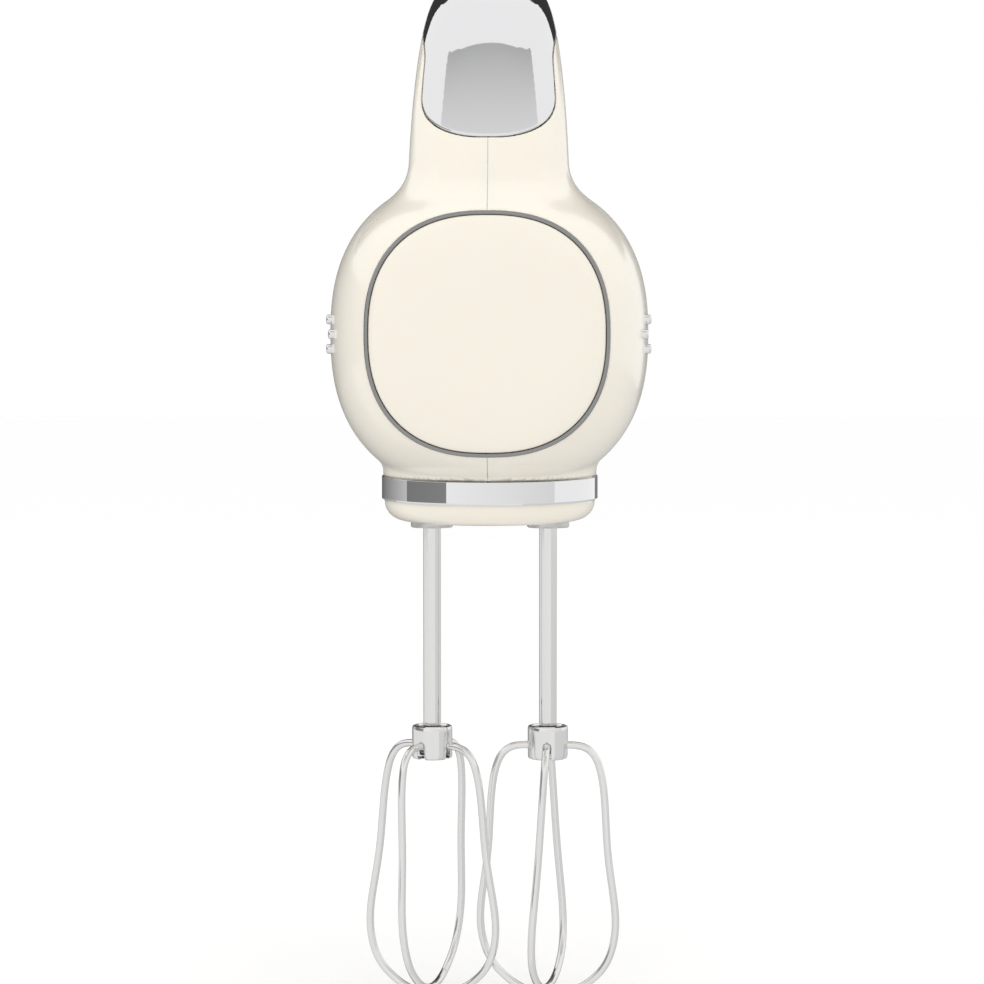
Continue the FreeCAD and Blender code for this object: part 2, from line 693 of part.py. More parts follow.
group("left_shell", [largest(left_half)])
group("right_shell", [largest(right_half)])


# ---------------------------------------------------------------- trim on the casing

deck_form = stadium(s.deck_y, s.deck_half_long, s.deck_half_wide, MID, HIGH)
deck_seat = stadium(s.deck_y, s.deck_half_long + 0.1, s.deck_half_wide + 0.1, MID, HIGH)
group("handle_cover", [largest(cover_body.cut([deck_seat] + top_holes))])

lens_form = stadium(s.lens_y, s.lens_half_long, s.lens_half_wide, MID, HIGH)
lens_seat = stadium(s.lens_y, s.lens_half_long + 0.1, s.lens_half_wide + 0.1, MID, HIGH)
deck_skin = handle(-0.3).cut(handle(s.cover_thick + 0.05))
deck = deck_form.common(deck_skin).cut([eject_hole, turbo_hole, slot_hole, window])
deck = deck.cut(lens_seat.common(handle(-2).cut(handle(0.9))))
group("control_deck", [largest(deck)])
group("display_lens", [largest(lens_form.common(handle(-0.3 - s.lens_proud)).cut(handle(0.9)))])

front = s.nose_y
ring_outer = nose_prism(0, front - s.ring_deep, front)
ring_inner = nose_prism(s.ring_wide, front - s.ring_deep - 1, front + 1)
group("nose_ring", [ring_outer.cut(ring_inner)])

dome = []
cap_half = nose_half - s.ring_wide - s.ring_gap
for share, rise in ((1.0, 0.0), (1.0, 0.14), (1.0, 0.28)):
    dome.append((share, rise))
for i in range(1, 9):
    turn = math.pi / 2 * i / 8.2
    dome.append((math.cos(turn), 0.28 + 0.72 * math.sin(turn)))
dome_rings = []
for share, rise in dome:
    middle = Vector(0, front - s.cap_dome * rise, s.barrel_z)
    dome_rings.append(
        superellipse(cap_half * share, cap_half * share, s.barrel_power, middle, X_DIR, Z_DIR)
    )
spigot = nose_prism(nose_half - s.nose_open + 0.1, front, front + s.nose_spigot)
group("nose_cap", [skinned(dome_rings).fuse(spigot)])

stripes = []
for row, share in ((-1, 0.78), (0, 1.0), (1, 0.78)):
    z = s.barrel_z + row * s.stripe_pitch
    half = s.badge_half_long * share
    stripes.append(
        block(-FAR, FAR, s.badge_y - half, s.badge_y + half, z - s.stripe_tall / 2, z + s.stripe_tall / 2)
    )
stripe_skin = barrel(-s.stripe_proud, s.nose_y + 2, s.heel_y).cut(barrel_outer)
group("side_stripes", [stripe_skin.common(stripe) for stripe in stripes])

heel_wide, heel_high, heel_z = barrel_section(s.heel_y)
heel_ring = superellipse(
    heel_wide - s.heel_inset,
    heel_high - s.heel_inset,
    s.barrel_power,
    Vector(0, s.heel_y, heel_z),
    X_DIR,
    Z_DIR,
)
group("heel_rest", [prism(heel_ring, Y_DIR * s.heel_thick)])

gland = turned(
    "gland_body",
    [
        (s.gland_bore, 0),
        (s.gland_radius - 1.3, 0),
        (s.gland_radius - 1.3, s.gland_long - GLAND_RIM),
        (s.gland_radius, s.gland_long - GLAND_RIM),
        (s.gland_radius, s.gland_long),
        (s.gland_bore, s.gland_long),
    ],
)
keep(place(gland, 0, s.gland_rear - s.gland_long, s.gland_z, ALONG_Y), "cord_gland")

screw = disc(s.screw_radius, 0, 0, -SCREW_SEAT, SCREW_SEAT + SCREW_END)
screw = screw.fuse(disc(s.screw_head, 0, 0, -SCREW_SEAT - 2, 2))
screw = screw.cut(disc(1.0, 0, 0, -SCREW_SEAT - 2, 1.2))
group("case_screws", copies(screw, [Placement(Vector(0, y, z), ALONG_X) for y, z, _ in SCREW_PLACES]))

plugs = []
for y, z, skin in SCREW_PLACES:
    reach = disc(s.screw_head + 0.1, -FAR, y, z, FAR - SCREW_SEAT - 2.1, X_DIR)
    if skin is barrel:
        shell = barrel_outer.cut(barrel(s.plug_deep, s.nose_y, s.heel_y))
    else:
        shell = handle_outer.cut(handle(s.plug_deep))
    plugs.append(largest(reach.common(shell)))
group("screw_plugs", plugs)


# ---------------------------------------------------------------- band, base and socket rings

band_in = s.band_thick - s.band_proud
band = oval(-s.band_proud, s.band_low, s.band_high).cut(oval(band_in, s.band_low - 1, s.band_high + 1))
group("base_band", [band])

CAP_GAP = 0.05
cap_low = oval(s.cap_inset, 0, s.band_low)
under_edge = [e for e in cap_low.Edges if e.BoundBox.ZMax < 0.01]
cap_low = cap_low.makeFillet(s.cap_round, under_edge)
cap = cap_low.fuse(oval(band_in + CAP_GAP, s.band_low - 0.5, s.band_high))
cap = cap.cut(oval(band_in + wall, s.cap_floor, s.band_high + 1))
PILLARS = [(sx * 22.0, sy * 13.0) for sx in (-1, 1) for sy in (-1, 1)]
cap = cap.fuse([disc(s.screw_boss, x, y, 1, s.band_high - 1) for x, y in BASE_SCREWS])
cap = cap.fuse([disc(3.4, x, y, 1, s.case_low - 1) for x, y in PILLARS])
cap = cap.common(oval(s.cap_inset, -1, s.band_low).fuse(oval(band_in + CAP_GAP, 0, FAR)))
HEAD_SINK = 2.0
screw_wells = [disc(s.screw_head + 0.2, x, y, -1, 1 + HEAD_SINK) for x, y in BASE_SCREWS + PILLARS]
screw_wells += [disc(s.screw_radius + 0.15, x, y, 0, FAR) for x, y in BASE_SCREWS + PILLARS]
sides = (-s.axle_half_gap, s.axle_half_gap)
ring_seats = [disc(s.ring_out + CAP_GAP, x, 0, -1, FAR) for x in sides]
group("base_cap", [largest(cap.cut(screw_wells + ring_seats))])


def base_screw(top):
    """A screw that comes up from the base to a height."""
    made = disc(s.screw_head, 0, 0, 0.3, HEAD_SINK - 0.3)
    made = made.fuse(disc(s.screw_radius, 0, 0, HEAD_SINK, top - HEAD_SINK))
    return made.cut(disc(1.0, 0, 0, 0.3, 1.0))


CASE_BOSS_TOP = 45.0
group("base_screws", copies(base_screw(s.band_high + 7), standing(BASE_SCREWS)))
group("gearbox_screws", copies(base_screw(CASE_BOSS_TOP - 1), standing(PILLARS)))

socket_ring = disc(s.ring_out, 0, 0, -s.ring_below, s.ring_below + s.cap_floor)
socket_ring = socket_ring.cut(disc(s.ring_in, 0, 0, -5, 20))
top_edges = [e for e in socket_ring.Edges if e.BoundBox.ZMax < -0.01]
socket_ring = socket_ring.makeChamfer(0.3, top_edges)
AXLES = [Placement(Vector(x, 0, 0), Rotation()) for x in sides]
group("socket_rings", copies(socket_ring, AXLES))


# ---------------------------------------------------------------- gear case

case_outer = block(-s.case_half_x, s.case_half_x, -s.case_half_y, s.case_half_y, s.case_low, s.case_split)
case_hollow = block(
    -s.case_half_x + s.case_wall,
    s.case_half_x - s.case_wall,
    -s.case_half_y + s.case_wall,
    s.case_half_y - s.case_wall,
    s.case_low + s.case_wall,
    FAR,
)
CORNERS = [(sx * 28.5, sy * 14.1) for sx in (-1, 1) for sy in (-1, 1)]
bearing_boss = s.bearing_radius + 2
BOSS_END = s.bearing_y + s.bearing_long + 1.5
lower = case_outer.cut(case_hollow)
lower = lower.fuse([disc(3.0, x, y, s.case_low, s.case_split - s.case_low) for x, y in CORNERS])
lower = lower.fuse([disc(3.0, x, y, s.case_low, CASE_BOSS_TOP - s.case_low) for x, y in PILLARS])
boss_tall = s.case_low + s.case_wall - s.boss_low
lower = lower.fuse([disc(s.boss_radius, x, 0, s.boss_low, boss_tall) for x in sides])
for way in (-1, 1):
    start = s.bearing_y if way > 0 else -BOSS_END
    lower = lower.fuse(disc(bearing_boss, 0, start, s.drive_z, BOSS_END - s.bearing_y, Y_DIR))
holes = [disc(s.bush_radius, x, 0, s.boss_low - 1, s.bush_tall + 1) for x in sides]
holes += [disc(s.spindle_radius + 0.6, x, 0, s.boss_low - 1, FAR) for x in sides]
holes += [disc(s.bearing_radius, 0, -BOSS_END - 1, s.drive_z, 2 * BOSS_END + 2, Y_DIR)]
holes += [disc(s.screw_radius, x, y, s.case_split - 10, 12) for x, y in CORNERS]
holes += [disc(s.screw_radius, x, y, s.case_low - 1, CASE_BOSS_TOP - s.case_low) for x, y in PILLARS]
group("gear_case_lower", [lower.cut(holes)])

lid = block(-s.case_half_x, s.case_half_x, -s.case_half_y, s.case_half_y, s.case_split, s.case_high)
lid = lid.fuse([disc(s.boss_radius, x, 0, s.case_split, s.bush_tall) for x in sides])
lid_holes = [disc(s.bush_radius, x, 0, s.case_split - 1, s.bush_tall + 2) for x in sides]
lid_holes += [disc(s.screw_radius + 0.15, x, y, s.case_split - 1, 9) for x, y in CORNERS]
lid_holes += [disc(bearing_boss + 0.1, 0, -FAR, s.drive_z, 2 * FAR, Y_DIR)]
group("gear_case_upper", [lid.cut(lid_holes)])

lid_screw = disc(s.screw_radius, 0, 0, s.case_split - 9, s.case_high - s.case_split + 9)
lid_screw = lid_screw.fuse(disc(s.screw_head, 0, 0, s.case_high, 1.8))
group("gear_case_screws", copies(lid_screw, standing(CORNERS)))

bush = disc(s.bush_radius, 0, 0, 0, s.bush_tall).cut(disc(s.spindle_radius + s.run_gap, 0, 0, -1, 20))
bush_lows = (s.boss_low, s.case_split)
bush_places = [Placement(Vector(x, 0, low), Rotation()) for x in sides for low in bush_lows]
group("spindle_bushes", copies(bush, bush_places))


# ---------------------------------------------------------------- motor

nose_bore = s.nose_shaft_radius + s.run_gap
front_bearing = tube("front_bearing_body", nose_bore, s.bearing_radius, 0, s.bearing_long)
keep(place(front_bearing, 0, -s.bearing_y - s.bearing_long, s.drive_z, ALONG_Y), "front_bearing")
bearing = disc(s.bearing_radius, 0, 0, 0, s.bearing_long)
bearing = bearing.cut(disc(s.motor_shaft_radius + s.run_gap, 0, 0, -1, 20))
bearing_places = [Placement(Vector(0, y, s.drive_z), ALONG_Y) for y in (s.bearing_y, s.bracket_y)]
group("motor_bearings", copies(bearing, bearing_places))

BOLTS = [-s.bolt_x, s.bolt_x]
FRONT_PLATE = 2.5
plate_y = s.case_half_y
plate_x, plate_end = s.field_half_x + 1, plate_y + FRONT_PLATE
front_plate = block(-plate_x, plate_x, plate_y, plate_end, s.drive_z - 10, s.drive_z + 10)
front_plate = front_plate.cut([disc(bearing_boss + 0.1, 0, 0, s.drive_z, FAR, Y_DIR)])
front_plate = front_plate.cut([disc(s.screw_radius, x, 0, s.drive_z, FAR, Y_DIR) for x in BOLTS])
group("front_bracket", [front_plate])

rear_y = s.bracket_y
rear_plate = block(-FAR, FAR, rear_y, rear_y + s.bracket_thick, s.drive_z - 9, s.drive_z + 9)
rear_plate = rear_plate.common(barrel(wall, s.nose_y, s.heel_y - 1))
rear_plate = rear_plate.fuse(disc(s.bearing_radius + 2, 0, rear_y, s.drive_z, s.bearing_long + 1, Y_DIR))
rear_plate = rear_plate.cut(disc(s.bearing_radius, 0, rear_y - 1, s.drive_z, s.bearing_long + 1, Y_DIR))
rear_plate = rear_plate.cut(disc(s.motor_shaft_radius + 0.5, 0, rear_y, s.drive_z, 20, Y_DIR))
rear_plate = rear_plate.cut([disc(s.screw_radius + 0.1, x, rear_y - 1, s.drive_z, 9, Y_DIR) for x in BOLTS])
group("rear_bracket", [rear_plate])

bolt_end = rear_y + s.bracket_thick
bolt = disc(s.screw_radius, 0, plate_y + 0.2, 0, bolt_end - plate_y - 0.2, Y_DIR)
bolt = bolt.fuse(disc(s.screw_head, 0, bolt_end, 0, 2, Y_DIR))
group("motor_bolts", copies(bolt, [Placement(Vector(x, 0, s.drive_z), Rotation()) for x in BOLTS]))

field_y, field_end = s.core_front, s.core_front + s.core_long
bore = s.armature_radius + s.air_gap
field_z = (s.drive_z - s.field_half_z, s.drive_z + s.field_half_z)
field = block(-s.field_half_x, s.field_half_x, field_y, field_end, *field_z)
inside_x, inside_z = s.field_half_x - s.yoke_thick, s.field_half_z - s.yoke_thick
window_z = (s.drive_z - inside_z, s.drive_z + inside_z)
field = field.cut(block(-inside_x, inside_x, field_y - 1, field_end + 1, *window_z))
pole_z = (s.drive_z - s.pole_half, s.drive_z + s.pole_half)
neck = block(-inside_x - 1, inside_x + 1, field_y, field_end, *pole_z)
shoe = disc(bore + s.shoe_thick, 0, field_y, s.drive_z, s.core_long, Y_DIR)
shoe_half = s.pole_half + 4
shoe = shoe.common(block(-FAR, FAR, field_y, field_end, s.drive_z - shoe_half, s.drive_z + shoe_half))
field = field.fuse([neck, shoe])
field = field.cut([disc(bore, 0, field_y - 1, s.drive_z, s.core_long + 2, Y_DIR)])
bolt_hole = s.screw_radius + 0.15
field = field.cut([disc(bolt_hole, x, field_y - 1, s.drive_z, s.core_long + 2, Y_DIR) for x in BOLTS])
group("field_core", [largest(field)])

coils = []
for way in (-1, 1):
    x_low, x_high = sorted((way * (bore + s.shoe_thick + 0.4), way * (inside_x - 0.2)))
    coil_y = (field_y - s.coil_reach, field_end + s.coil_reach)
    coil = block(x_low, x_high, *coil_y, s.drive_z - 15, s.drive_z + 15)
    coil = coil.cut(
        block(
            x_low - 1,
            x_high + 1,
            field_y - 0.4,
            field_end + 0.4,
            s.drive_z - s.pole_half - 0.3,
            s.drive_z + s.pole_half + 0.3,
        )
    )
    coils.append(coil)
group("field_coils", coils)

shaft = turned(
    "armature_shaft_body",
    [
        (0, s.motor_shaft_front),
        (s.nose_shaft_radius, s.motor_shaft_front),
        (s.nose_shaft_radius, s.worm_long / 2 + 1),
        (s.motor_shaft_radius, s.worm_long / 2 + 1),
        (s.motor_shaft_radius, s.motor_shaft_rear),
        (0, s.motor_shaft_rear),
    ],
)
keep(place(shaft, 0, 0, s.drive_z, ALONG_Y), "armature_shaft")

wheel_pitch_radius = s.axle_half_gap - s.worm_pitch_radius
axial_pitch = 2 * math.pi * wheel_pitch_radius / s.wheel_teeth
lead = axial_pitch * s.worm_starts
worm_length = lead * s.worm_turns
worm_root = s.worm_pitch_radius - s.tooth_add - s.tooth_gap
worm_tip = s.worm_pitch_radius + s.tooth_add


def worm_thread(turned_by):
    """One start of the worm: a tapered ridge swept along a helix about Z."""
    foot, tip = worm_root - 0.4, worm_tip
    at_pitch = s.thread_share * axial_pitch / 2
    slope = 0.22
    low = at_pitch + slope * (s.worm_pitch_radius - foot)
    high = at_pitch - slope * (tip - s.worm_pitch_radius)
    corners = [Vector(foot, 0, -low), Vector(tip, 0, -high), Vector(tip, 0, high), Vector(foot, 0, low)]
    profile = Part.makePolygon(corners + corners[:1])
    helix = Part.makeHelix(lead, worm_length, s.worm_pitch_radius)
    ridge = Part.Wire(helix).makePipeShell([profile], True, True)
    ridge.rotate(Vector(0, 0, 0), Z_DIR, turned_by)
    ridge.translate(Vector(0, 0, -worm_length / 2))
    return ridge


WORM_PHASE = 0.0
sleeve = disc(worm_root, 0, 0, -s.worm_long / 2, s.worm_long)
sleeve = sleeve.cut(disc(s.nose_shaft_radius, 0, 0, -s.worm_long, 2 * s.worm_long))
threads = [worm_thread(WORM_PHASE + 360 * i / s.worm_starts) for i in range(int(s.worm_starts))]
worm = sleeve.fuse(threads).cut(disc(s.nose_shaft_radius, 0, 0, -FAR, 2 * FAR))
worm.Placement = Placement(Vector(0, 0, s.drive_z), ALONG_Y)
group("drive_worm", [worm])

core_y = s.core_front
slots = 12
core = disc(s.armature_radius, 0, 0, core_y, s.core_long).cut(disc(s.motor_shaft_radius, 0, 0, 0, 2 * FAR))
notch = block(s.armature_radius - 6, s.armature_radius + 1, -0.9, 0.9, core_y - 1, core_y + s.core_long + 1)
core_span = (core_y - 1, core_y + s.core_long + 1)
notch = notch.fuse(block(s.armature_radius - 6, s.armature_radius - 1.4, -1.6, 1.6, *core_span))
spins = [Placement(Vector(0, 0, 0), Rotation(Z_DIR, 360 * i / slots)) for i in range(slots)]
core = core.cut(copies(notch, spins))
lay = Placement(Vector(0, 0, s.drive_z), ALONG_Y)
group("armature_core", copies(core, [lay]))

WIND_FRONT, WIND_REAR = 7.0, 6.5
strand = block(s.armature_radius - 5.8, s.armature_radius - 1.6, -1.4, 1.4, *core_span)
head_in, head_out = s.motor_shaft_radius + 1.2, s.armature_radius - 1.4
winding = disc(head_out, 0, 0, core_y - WIND_FRONT, WIND_FRONT - 0.2)
winding = winding.fuse(disc(head_out, 0, 0, core_y + s.core_long + 0.2, WIND_REAR))
winding = winding.cut(disc(head_in, 0, 0, 0, 2 * FAR))
winding = winding.fuse(copies(strand, spins))
group("armature_windings", copies(winding, [lay]))

commutator = tube("commutator_body", s.motor_shaft_radius, s.commutator_radius, 0, s.commutator_long)
keep(place(commutator, 0, s.commutator_y, s.drive_z, ALONG_Y), "commutator")

fan_hub = 6.0
fan = disc(fan_hub, 0, 0, s.fan_y, s.fan_long).fuse(disc(s.fan_radius, 0, 0, s.fan_y, 1.2))
blade = block(fan_hub - 1, s.fan_radius - 0.3, -0.6, 0.6, s.fan_y + 0.6, s.fan_y + s.fan_long)
count = int(s.fan_blades)
turns = [Rotation(Z_DIR, 360 * i / count) for i in range(count)]
fan = fan.fuse(copies(blade, [Placement(Vector(0, 0, 0), turn) for turn in turns]))
fan = fan.cut(disc(s.motor_shaft_radius, 0, 0, 0, 2 * FAR))
group("cooling_fan", copies(fan, [lay]))

PLATE_Y, BRUSH_Y, BRUSH = 88.5, 81.5, 2.5
holders = block(-s.field_half_x, s.field_half_x, PLATE_Y, PLATE_Y + 2, s.drive_z - 9, s.drive_z + 9)
for way in (-1, 1):
    x_low, x_high = sorted((way * 11.0, way * 21.0))
    holders = holders.fuse(block(x_low, x_high, BRUSH_Y - 4, PLATE_Y + 1, s.drive_z - 4.5, s.drive_z + 4.5))
fit = BRUSH + 0.05
holders = holders.cut(block(-FAR, FAR, BRUSH_Y - fit, BRUSH_Y + fit, s.drive_z - fit, s.drive_z + fit))
holders = holders.cut([disc(4.0, 0, PLATE_Y - 1, s.drive_z, 5, Y_DIR)])
holders = holders.cut([disc(s.screw_radius + 0.1, x, PLATE_Y - 1, s.drive_z, 5, Y_DIR) for x in BOLTS])
group("brush_holders", [largest(holders)])
brushes = []
for way in (-1, 1):
    x_low, x_high = sorted((way * (s.commutator_radius + 0.05), way * 18.0))
    brush_z = (s.drive_z - BRUSH, s.drive_z + BRUSH)
    brushes.append(block(x_low, x_high, BRUSH_Y - BRUSH, BRUSH_Y + BRUSH, *brush_z))
group("carbon_brushes", brushes)


# ---------------------------------------------------------------- wheels, spindles and ejector pins


def wheel_outline(z, turned_by):
    """The corners of a worm wheel's toothed outline at a height."""
    teeth = int(s.wheel_teeth)
    root = wheel_pitch_radius - s.tooth_add - s.tooth_gap
    tip = wheel_pitch_radius + s.tooth_add
    step = 2 * math.pi / teeth
    half_pitch = s.tooth_share * step / 2
    slope = 0.22 / wheel_pitch_radius
    half_root = half_pitch + slope * (wheel_pitch_radius - root)
    half_tip = half_pitch - slope * (tip - wheel_pitch_radius)
    points = []
    for i in range(teeth):
        # the tooth nearest the worm is half a step aside, so that a gap faces the worm
        middle = step * (i + 0.5) + turned_by
        for radius, aside in ((root, -half_root), (tip, -half_tip), (tip, half_tip), (root, half_root)):
            turn = middle + aside
            points.append(Vector(radius * math.cos(turn), radius * math.sin(turn), z))
    return points


def twisted_prism(low, high):
    """A solid between two polygons with equal numbers of corners, corner to corner."""
    faces = [Part.Face(Part.makePolygon(ring + ring[:1])) for ring in (low, high)]
    for i in range(len(low)):
        j = (i + 1) % len(low)
        edges = [Part.makeLine(ring[i], ring[j]) for ring in (low, high)]
        faces.append(Part.makeRuledSurface(*edges))
    shell = Part.makeShell(faces)
    shell.sewShape()
    return upright(Part.Solid(Part.Shell(shell.Faces)))


lead_angle = math.atan(lead / (2 * math.pi * s.worm_pitch_radius))
wheel_twist = math.tan(lead_angle) * s.wheel_wide / wheel_pitch_radius
bottom, top = -s.wheel_wide / 2, s.wheel_wide / 2
toothed = twisted_prism(wheel_outline(bottom, -wheel_twist / 2), wheel_outline(top, wheel_twist / 2))
wheel = toothed.fuse(disc(s.hub_radius, 0, 0, -s.hub_wide / 2, s.hub_wide))
wheel = wheel.cut(disc(s.spindle_radius, 0, 0, -FAR, 2 * FAR))
# six lightening holes
hole_ring = (s.hub_radius + wheel_pitch_radius) / 2 - 0.3
wheel = wheel.cut([
    disc(1.5, hole_ring * math.cos(math.pi / 3 * i), hole_ring * math.sin(math.pi / 3 * i), -FAR, 2 * FAR)
    for i in range(6)
])

SIDES = (("left", -1, s.left_phase, 1), ("right", 1, s.right_phase, -1))
flange_low = s.drive_z - s.hub_wide / 2 - 2
for side, way, _, _ in SIDES:
    x = s.axle_half_gap * way
    group(f"{side}_worm_wheel", copies(wheel, [Placement(Vector(x, 0, s.drive_z), Rotation())]))

    bore_radius = s.shaft_radius + s.slide_gap
    tube_body = turned(
        f"{side}_spindle_body",
        [
            (bore_radius, s.spindle_low),
            (s.spindle_radius, s.spindle_low),
            (s.spindle_radius, flange_low),
            (s.spindle_radius + 1.6, flange_low),
            (s.spindle_radius + 1.6, flange_low + 2),
            (s.spindle_radius, flange_low + 2),
            (s.spindle_radius, s.spindle_high),
            (bore_radius, s.spindle_high),
        ],
    )
    place(tube_body, x, 0, 0)
    half = s.tang_thick / 2 + 0.15
    slot = brick(f"{side}_spindle_slot", x - 6, x + 6, -half, half, s.spindle_low - 1, s.tang_high + 1)
    keep(carved(f"{side}_spindle", tube_body, [slot]), f"{side}_spindle")

    pin = turned(
        f"{side}_ejector_body",
        [
            (0, s.shaft_top + 0.1),
            (s.shaft_radius - 0.1, s.shaft_top + 0.1),
            (s.shaft_radius - 0.1, s.yoke_z - s.pin_head),
            (s.spindle_radius - 0.6, s.yoke_z - s.pin_head),
            (s.spindle_radius - 0.6, s.yoke_z),
            (0, s.yoke_z),
        ],
    )
    keep(place(pin, x, 0, 0), f"{side}_ejector_pin")


# ---------------------------------------------------------------- beaters

# A loop as (share of its largest radius, share of its height), from the collar to the tip.
LOOP_FORM = [
    (0.150, 0.000),
    (0.400, 0.000),
    (0.543, 0.010),
    (0.672, 0.042),
    (0.752, 0.095),
    (0.812, 0.195),
    (0.868, 0.417),
    (0.943, 0.567),
    (0.995, 0.705),
    (0.957, 0.795),
    (0.845, 0.871),
    (0.632, 0.935),
    (0.335, 0.983),
    (0.000, 1.000),
]


def wire_loop(phase, twist, bottom_z):
    """One wire loop about Z: out of the collar, down, under the tip and up the other side."""
    tall = bottom_z - s.loop_exit_z
    half = []
    for across, down in LOOP_FORM:
        turn = math.radians(phase + twist * down)
        radius = s.loop_radius * across
        half.append(Vector(radius * math.cos(turn), radius * math.sin(turn), s.loop_exit_z + tall * down))
    other = [Vector(-p.x, -p.y, p.z) for p in reversed(half[:-1])]
    curve = Part.BSplineCurve()
    curve.interpolate(half + other)
    start, along = half[0], half[1] - half[0]
    profile = Part.Wire([Part.Circle(start, along, s.wire_radius).toShape()])
    return Part.Wire([curve.toShape()]).makePipeShell([profile], True, False)


for side, way, phase, twist_way in SIDES:
    x = s.axle_half_gap * way
    foot_z = s.collar_top - s.collar_tall
    shaft = turned(
        f"{side}_beater_rod",
        [
            (0, foot_z + 1),
            (s.shaft_radius, foot_z + 1),
            (s.shaft_radius, 38),
            (s.shaft_radius - 0.5, 38.6),
            (s.shaft_radius - 0.5, 40.0),
            (s.shaft_radius, 40.6),
            (s.shaft_radius, s.shaft_top - 1),
            (s.shaft_radius - 0.8, s.shaft_top),
            (0, s.shaft_top),
        ],
    )
    place(shaft, x, 0, 0)
    half = s.tang_thick / 2
    tangs = brick(
        f"{side}_beater_tangs", x - s.tang_half, x + s.tang_half, -half, half, s.tang_low, s.tang_high
    )
    keep(joined(f"{side}_beater_shaft", [shaft, tangs]), f"{side}_beater_shaft")

    collar = Part.makeCylinder(s.collar_radius, s.collar_tall, Vector(0, 0, foot_z))
    collar = collar.makeChamfer(0.4, [e for e in collar.Edges if len(e.Vertexes) == 1])
    cup_low = s.collar_top - s.collar_cup
    collar = collar.cut(disc(s.collar_radius - s.collar_wall, 0, 0, cup_low, 10))
    collar = collar.cut(disc(s.shaft_radius, 0, 0, foot_z + 1, 20))
    slot_half = s.wire_radius + 0.1
    slot = block(s.shaft_radius + 0.2, 9, -slot_half, slot_half, foot_z - 1, s.loop_exit_z)
    slot = slot.fuse(disc(slot_half, s.shaft_radius + 0.2, 0, s.loop_exit_z, 7, X_DIR))
    quarter = [Placement(Vector(0, 0, 0), Rotation(Z_DIR, phase + 90 * i)) for i in range(4)]
    collar = collar.cut(copies(slot, quarter))
    group(f"{side}_beater_collar", copies(collar, [Placement(Vector(x, 0, 0), Rotation())]))

    loops = []
    for i in range(2):
        bottom_z = s.loop_bottom_z + 2 * s.loop_step * i
        loops.append(wire_loop(phase + 90 * i, twist_way * s.loop_twist, bottom_z))
    group(f"{side}_beater_loops", copies(Part.makeCompound(loops), standing([(x, 0)])))


# ---------------------------------------------------------------- eject linkage

ARM_THICK, ARM_HALF = 3.0, 3.2
yoke_top = s.yoke_z + s.yoke_tall
arm_top = s.eject_arm_z + ARM_THICK
link = disc(s.rod_radius, 0, s.eject_rod_y, s.yoke_z, arm_top - s.yoke_z)
link = link.fuse(block(-s.axle_half_gap - 5, s.axle_half_gap + 5, -4, 4, s.yoke_z, yoke_top))
link = link.fuse(block(-4, 4, s.eject_rod_y - 3, 0, s.yoke_z, yoke_top))
link = link.fuse(block(-ARM_HALF, ARM_HALF, s.eject_rod_y - 3, s.eject_y + 4, s.eject_arm_z, arm_top))
link = link.fuse(disc(s.spring_radius + 0.9, 0, s.eject_rod_y, s.spring_high, 1.5))
group("eject_link", [link])

eject_top = top_at(s.eject_y) + s.eject_proud
eject_button = disc(s.eject_radius, 0, s.eject_y, eject_top - 12, 12)
rim = [e for e in eject_button.Edges if len(e.Vertexes) == 1 and e.BoundBox.ZMin > eject_top - 0.01]
eject_button = eject_button.makeFillet(1.4, rim)
eject_button = eject_button.fuse(disc(3.0, 0, s.eject_y, arm_top, eject_top - 10 - arm_top))
group("eject_button", [eject_button])

coil_turns = 5.0
spring_long = s.spring_high - s.spring_low - 2 * s.spring_wire
spring_path = Part.makeHelix(spring_long / coil_turns, spring_long, s.spring_radius)
spring_section = Part.Wire([Part.Circle(Vector(s.spring_radius, 0, 0), Y_DIR, s.spring_wire).toShape()])
spring = Part.Wire(spring_path).makePipeShell([spring_section], True, True)
spring_at = Placement(Vector(0, s.eject_rod_y, s.spring_low + s.spring_wire), Rotation())
group("eject_spring", copies(spring, [spring_at]))


# ---------------------------------------------------------------- controls in the handle

across, along = (-s.board_half, s.board_half), (s.board_front, s.board_rear)
board = brick("control_board_body", *across, *along, s.board_z, s.board_z + s.board_thick)
keep(board, "control_board")
board_top = s.board_z + s.board_thick
lens_under = top_at(s.lens_y) - 1.4
module = stadium(s.lens_y, s.lens_half_long - 1.4, s.lens_half_wide - 1.4, board_top, lens_under)
group("display_module", [module])

POT_TALL = 3.4
pot = block(-4.0, 4.0, s.slot_front - 1, s.slot_rear + 1, board_top, board_top + POT_TALL)
group("speed_potentiometer", [pot])
switch_top = board_top + 3.4
group("turbo_switch", [block(-3.2, 3.2, s.turbo_y - 3.2, s.turbo_y + 3.2, board_top, switch_top)])
group("suppression_capacitor", [block(-6.5, 6.5, 30, 47, s.board_z - 7.5, s.board_z)])
sink = block(-7, 7, 66, 88, s.board_z - 2, s.board_z)
sink = sink.fuse([block(x, x + 1.2, 66, 88, s.board_z - 8, s.board_z - 1) for x in (-7.0, -3.2, 0.6, 4.4)])
group("heat_sink", [sink])
group("terminal_block", [block(-6.5, 6.5, 117.5, 127, 84, 100).cut(block(-3, 3, 125, 128, 86, 98))])

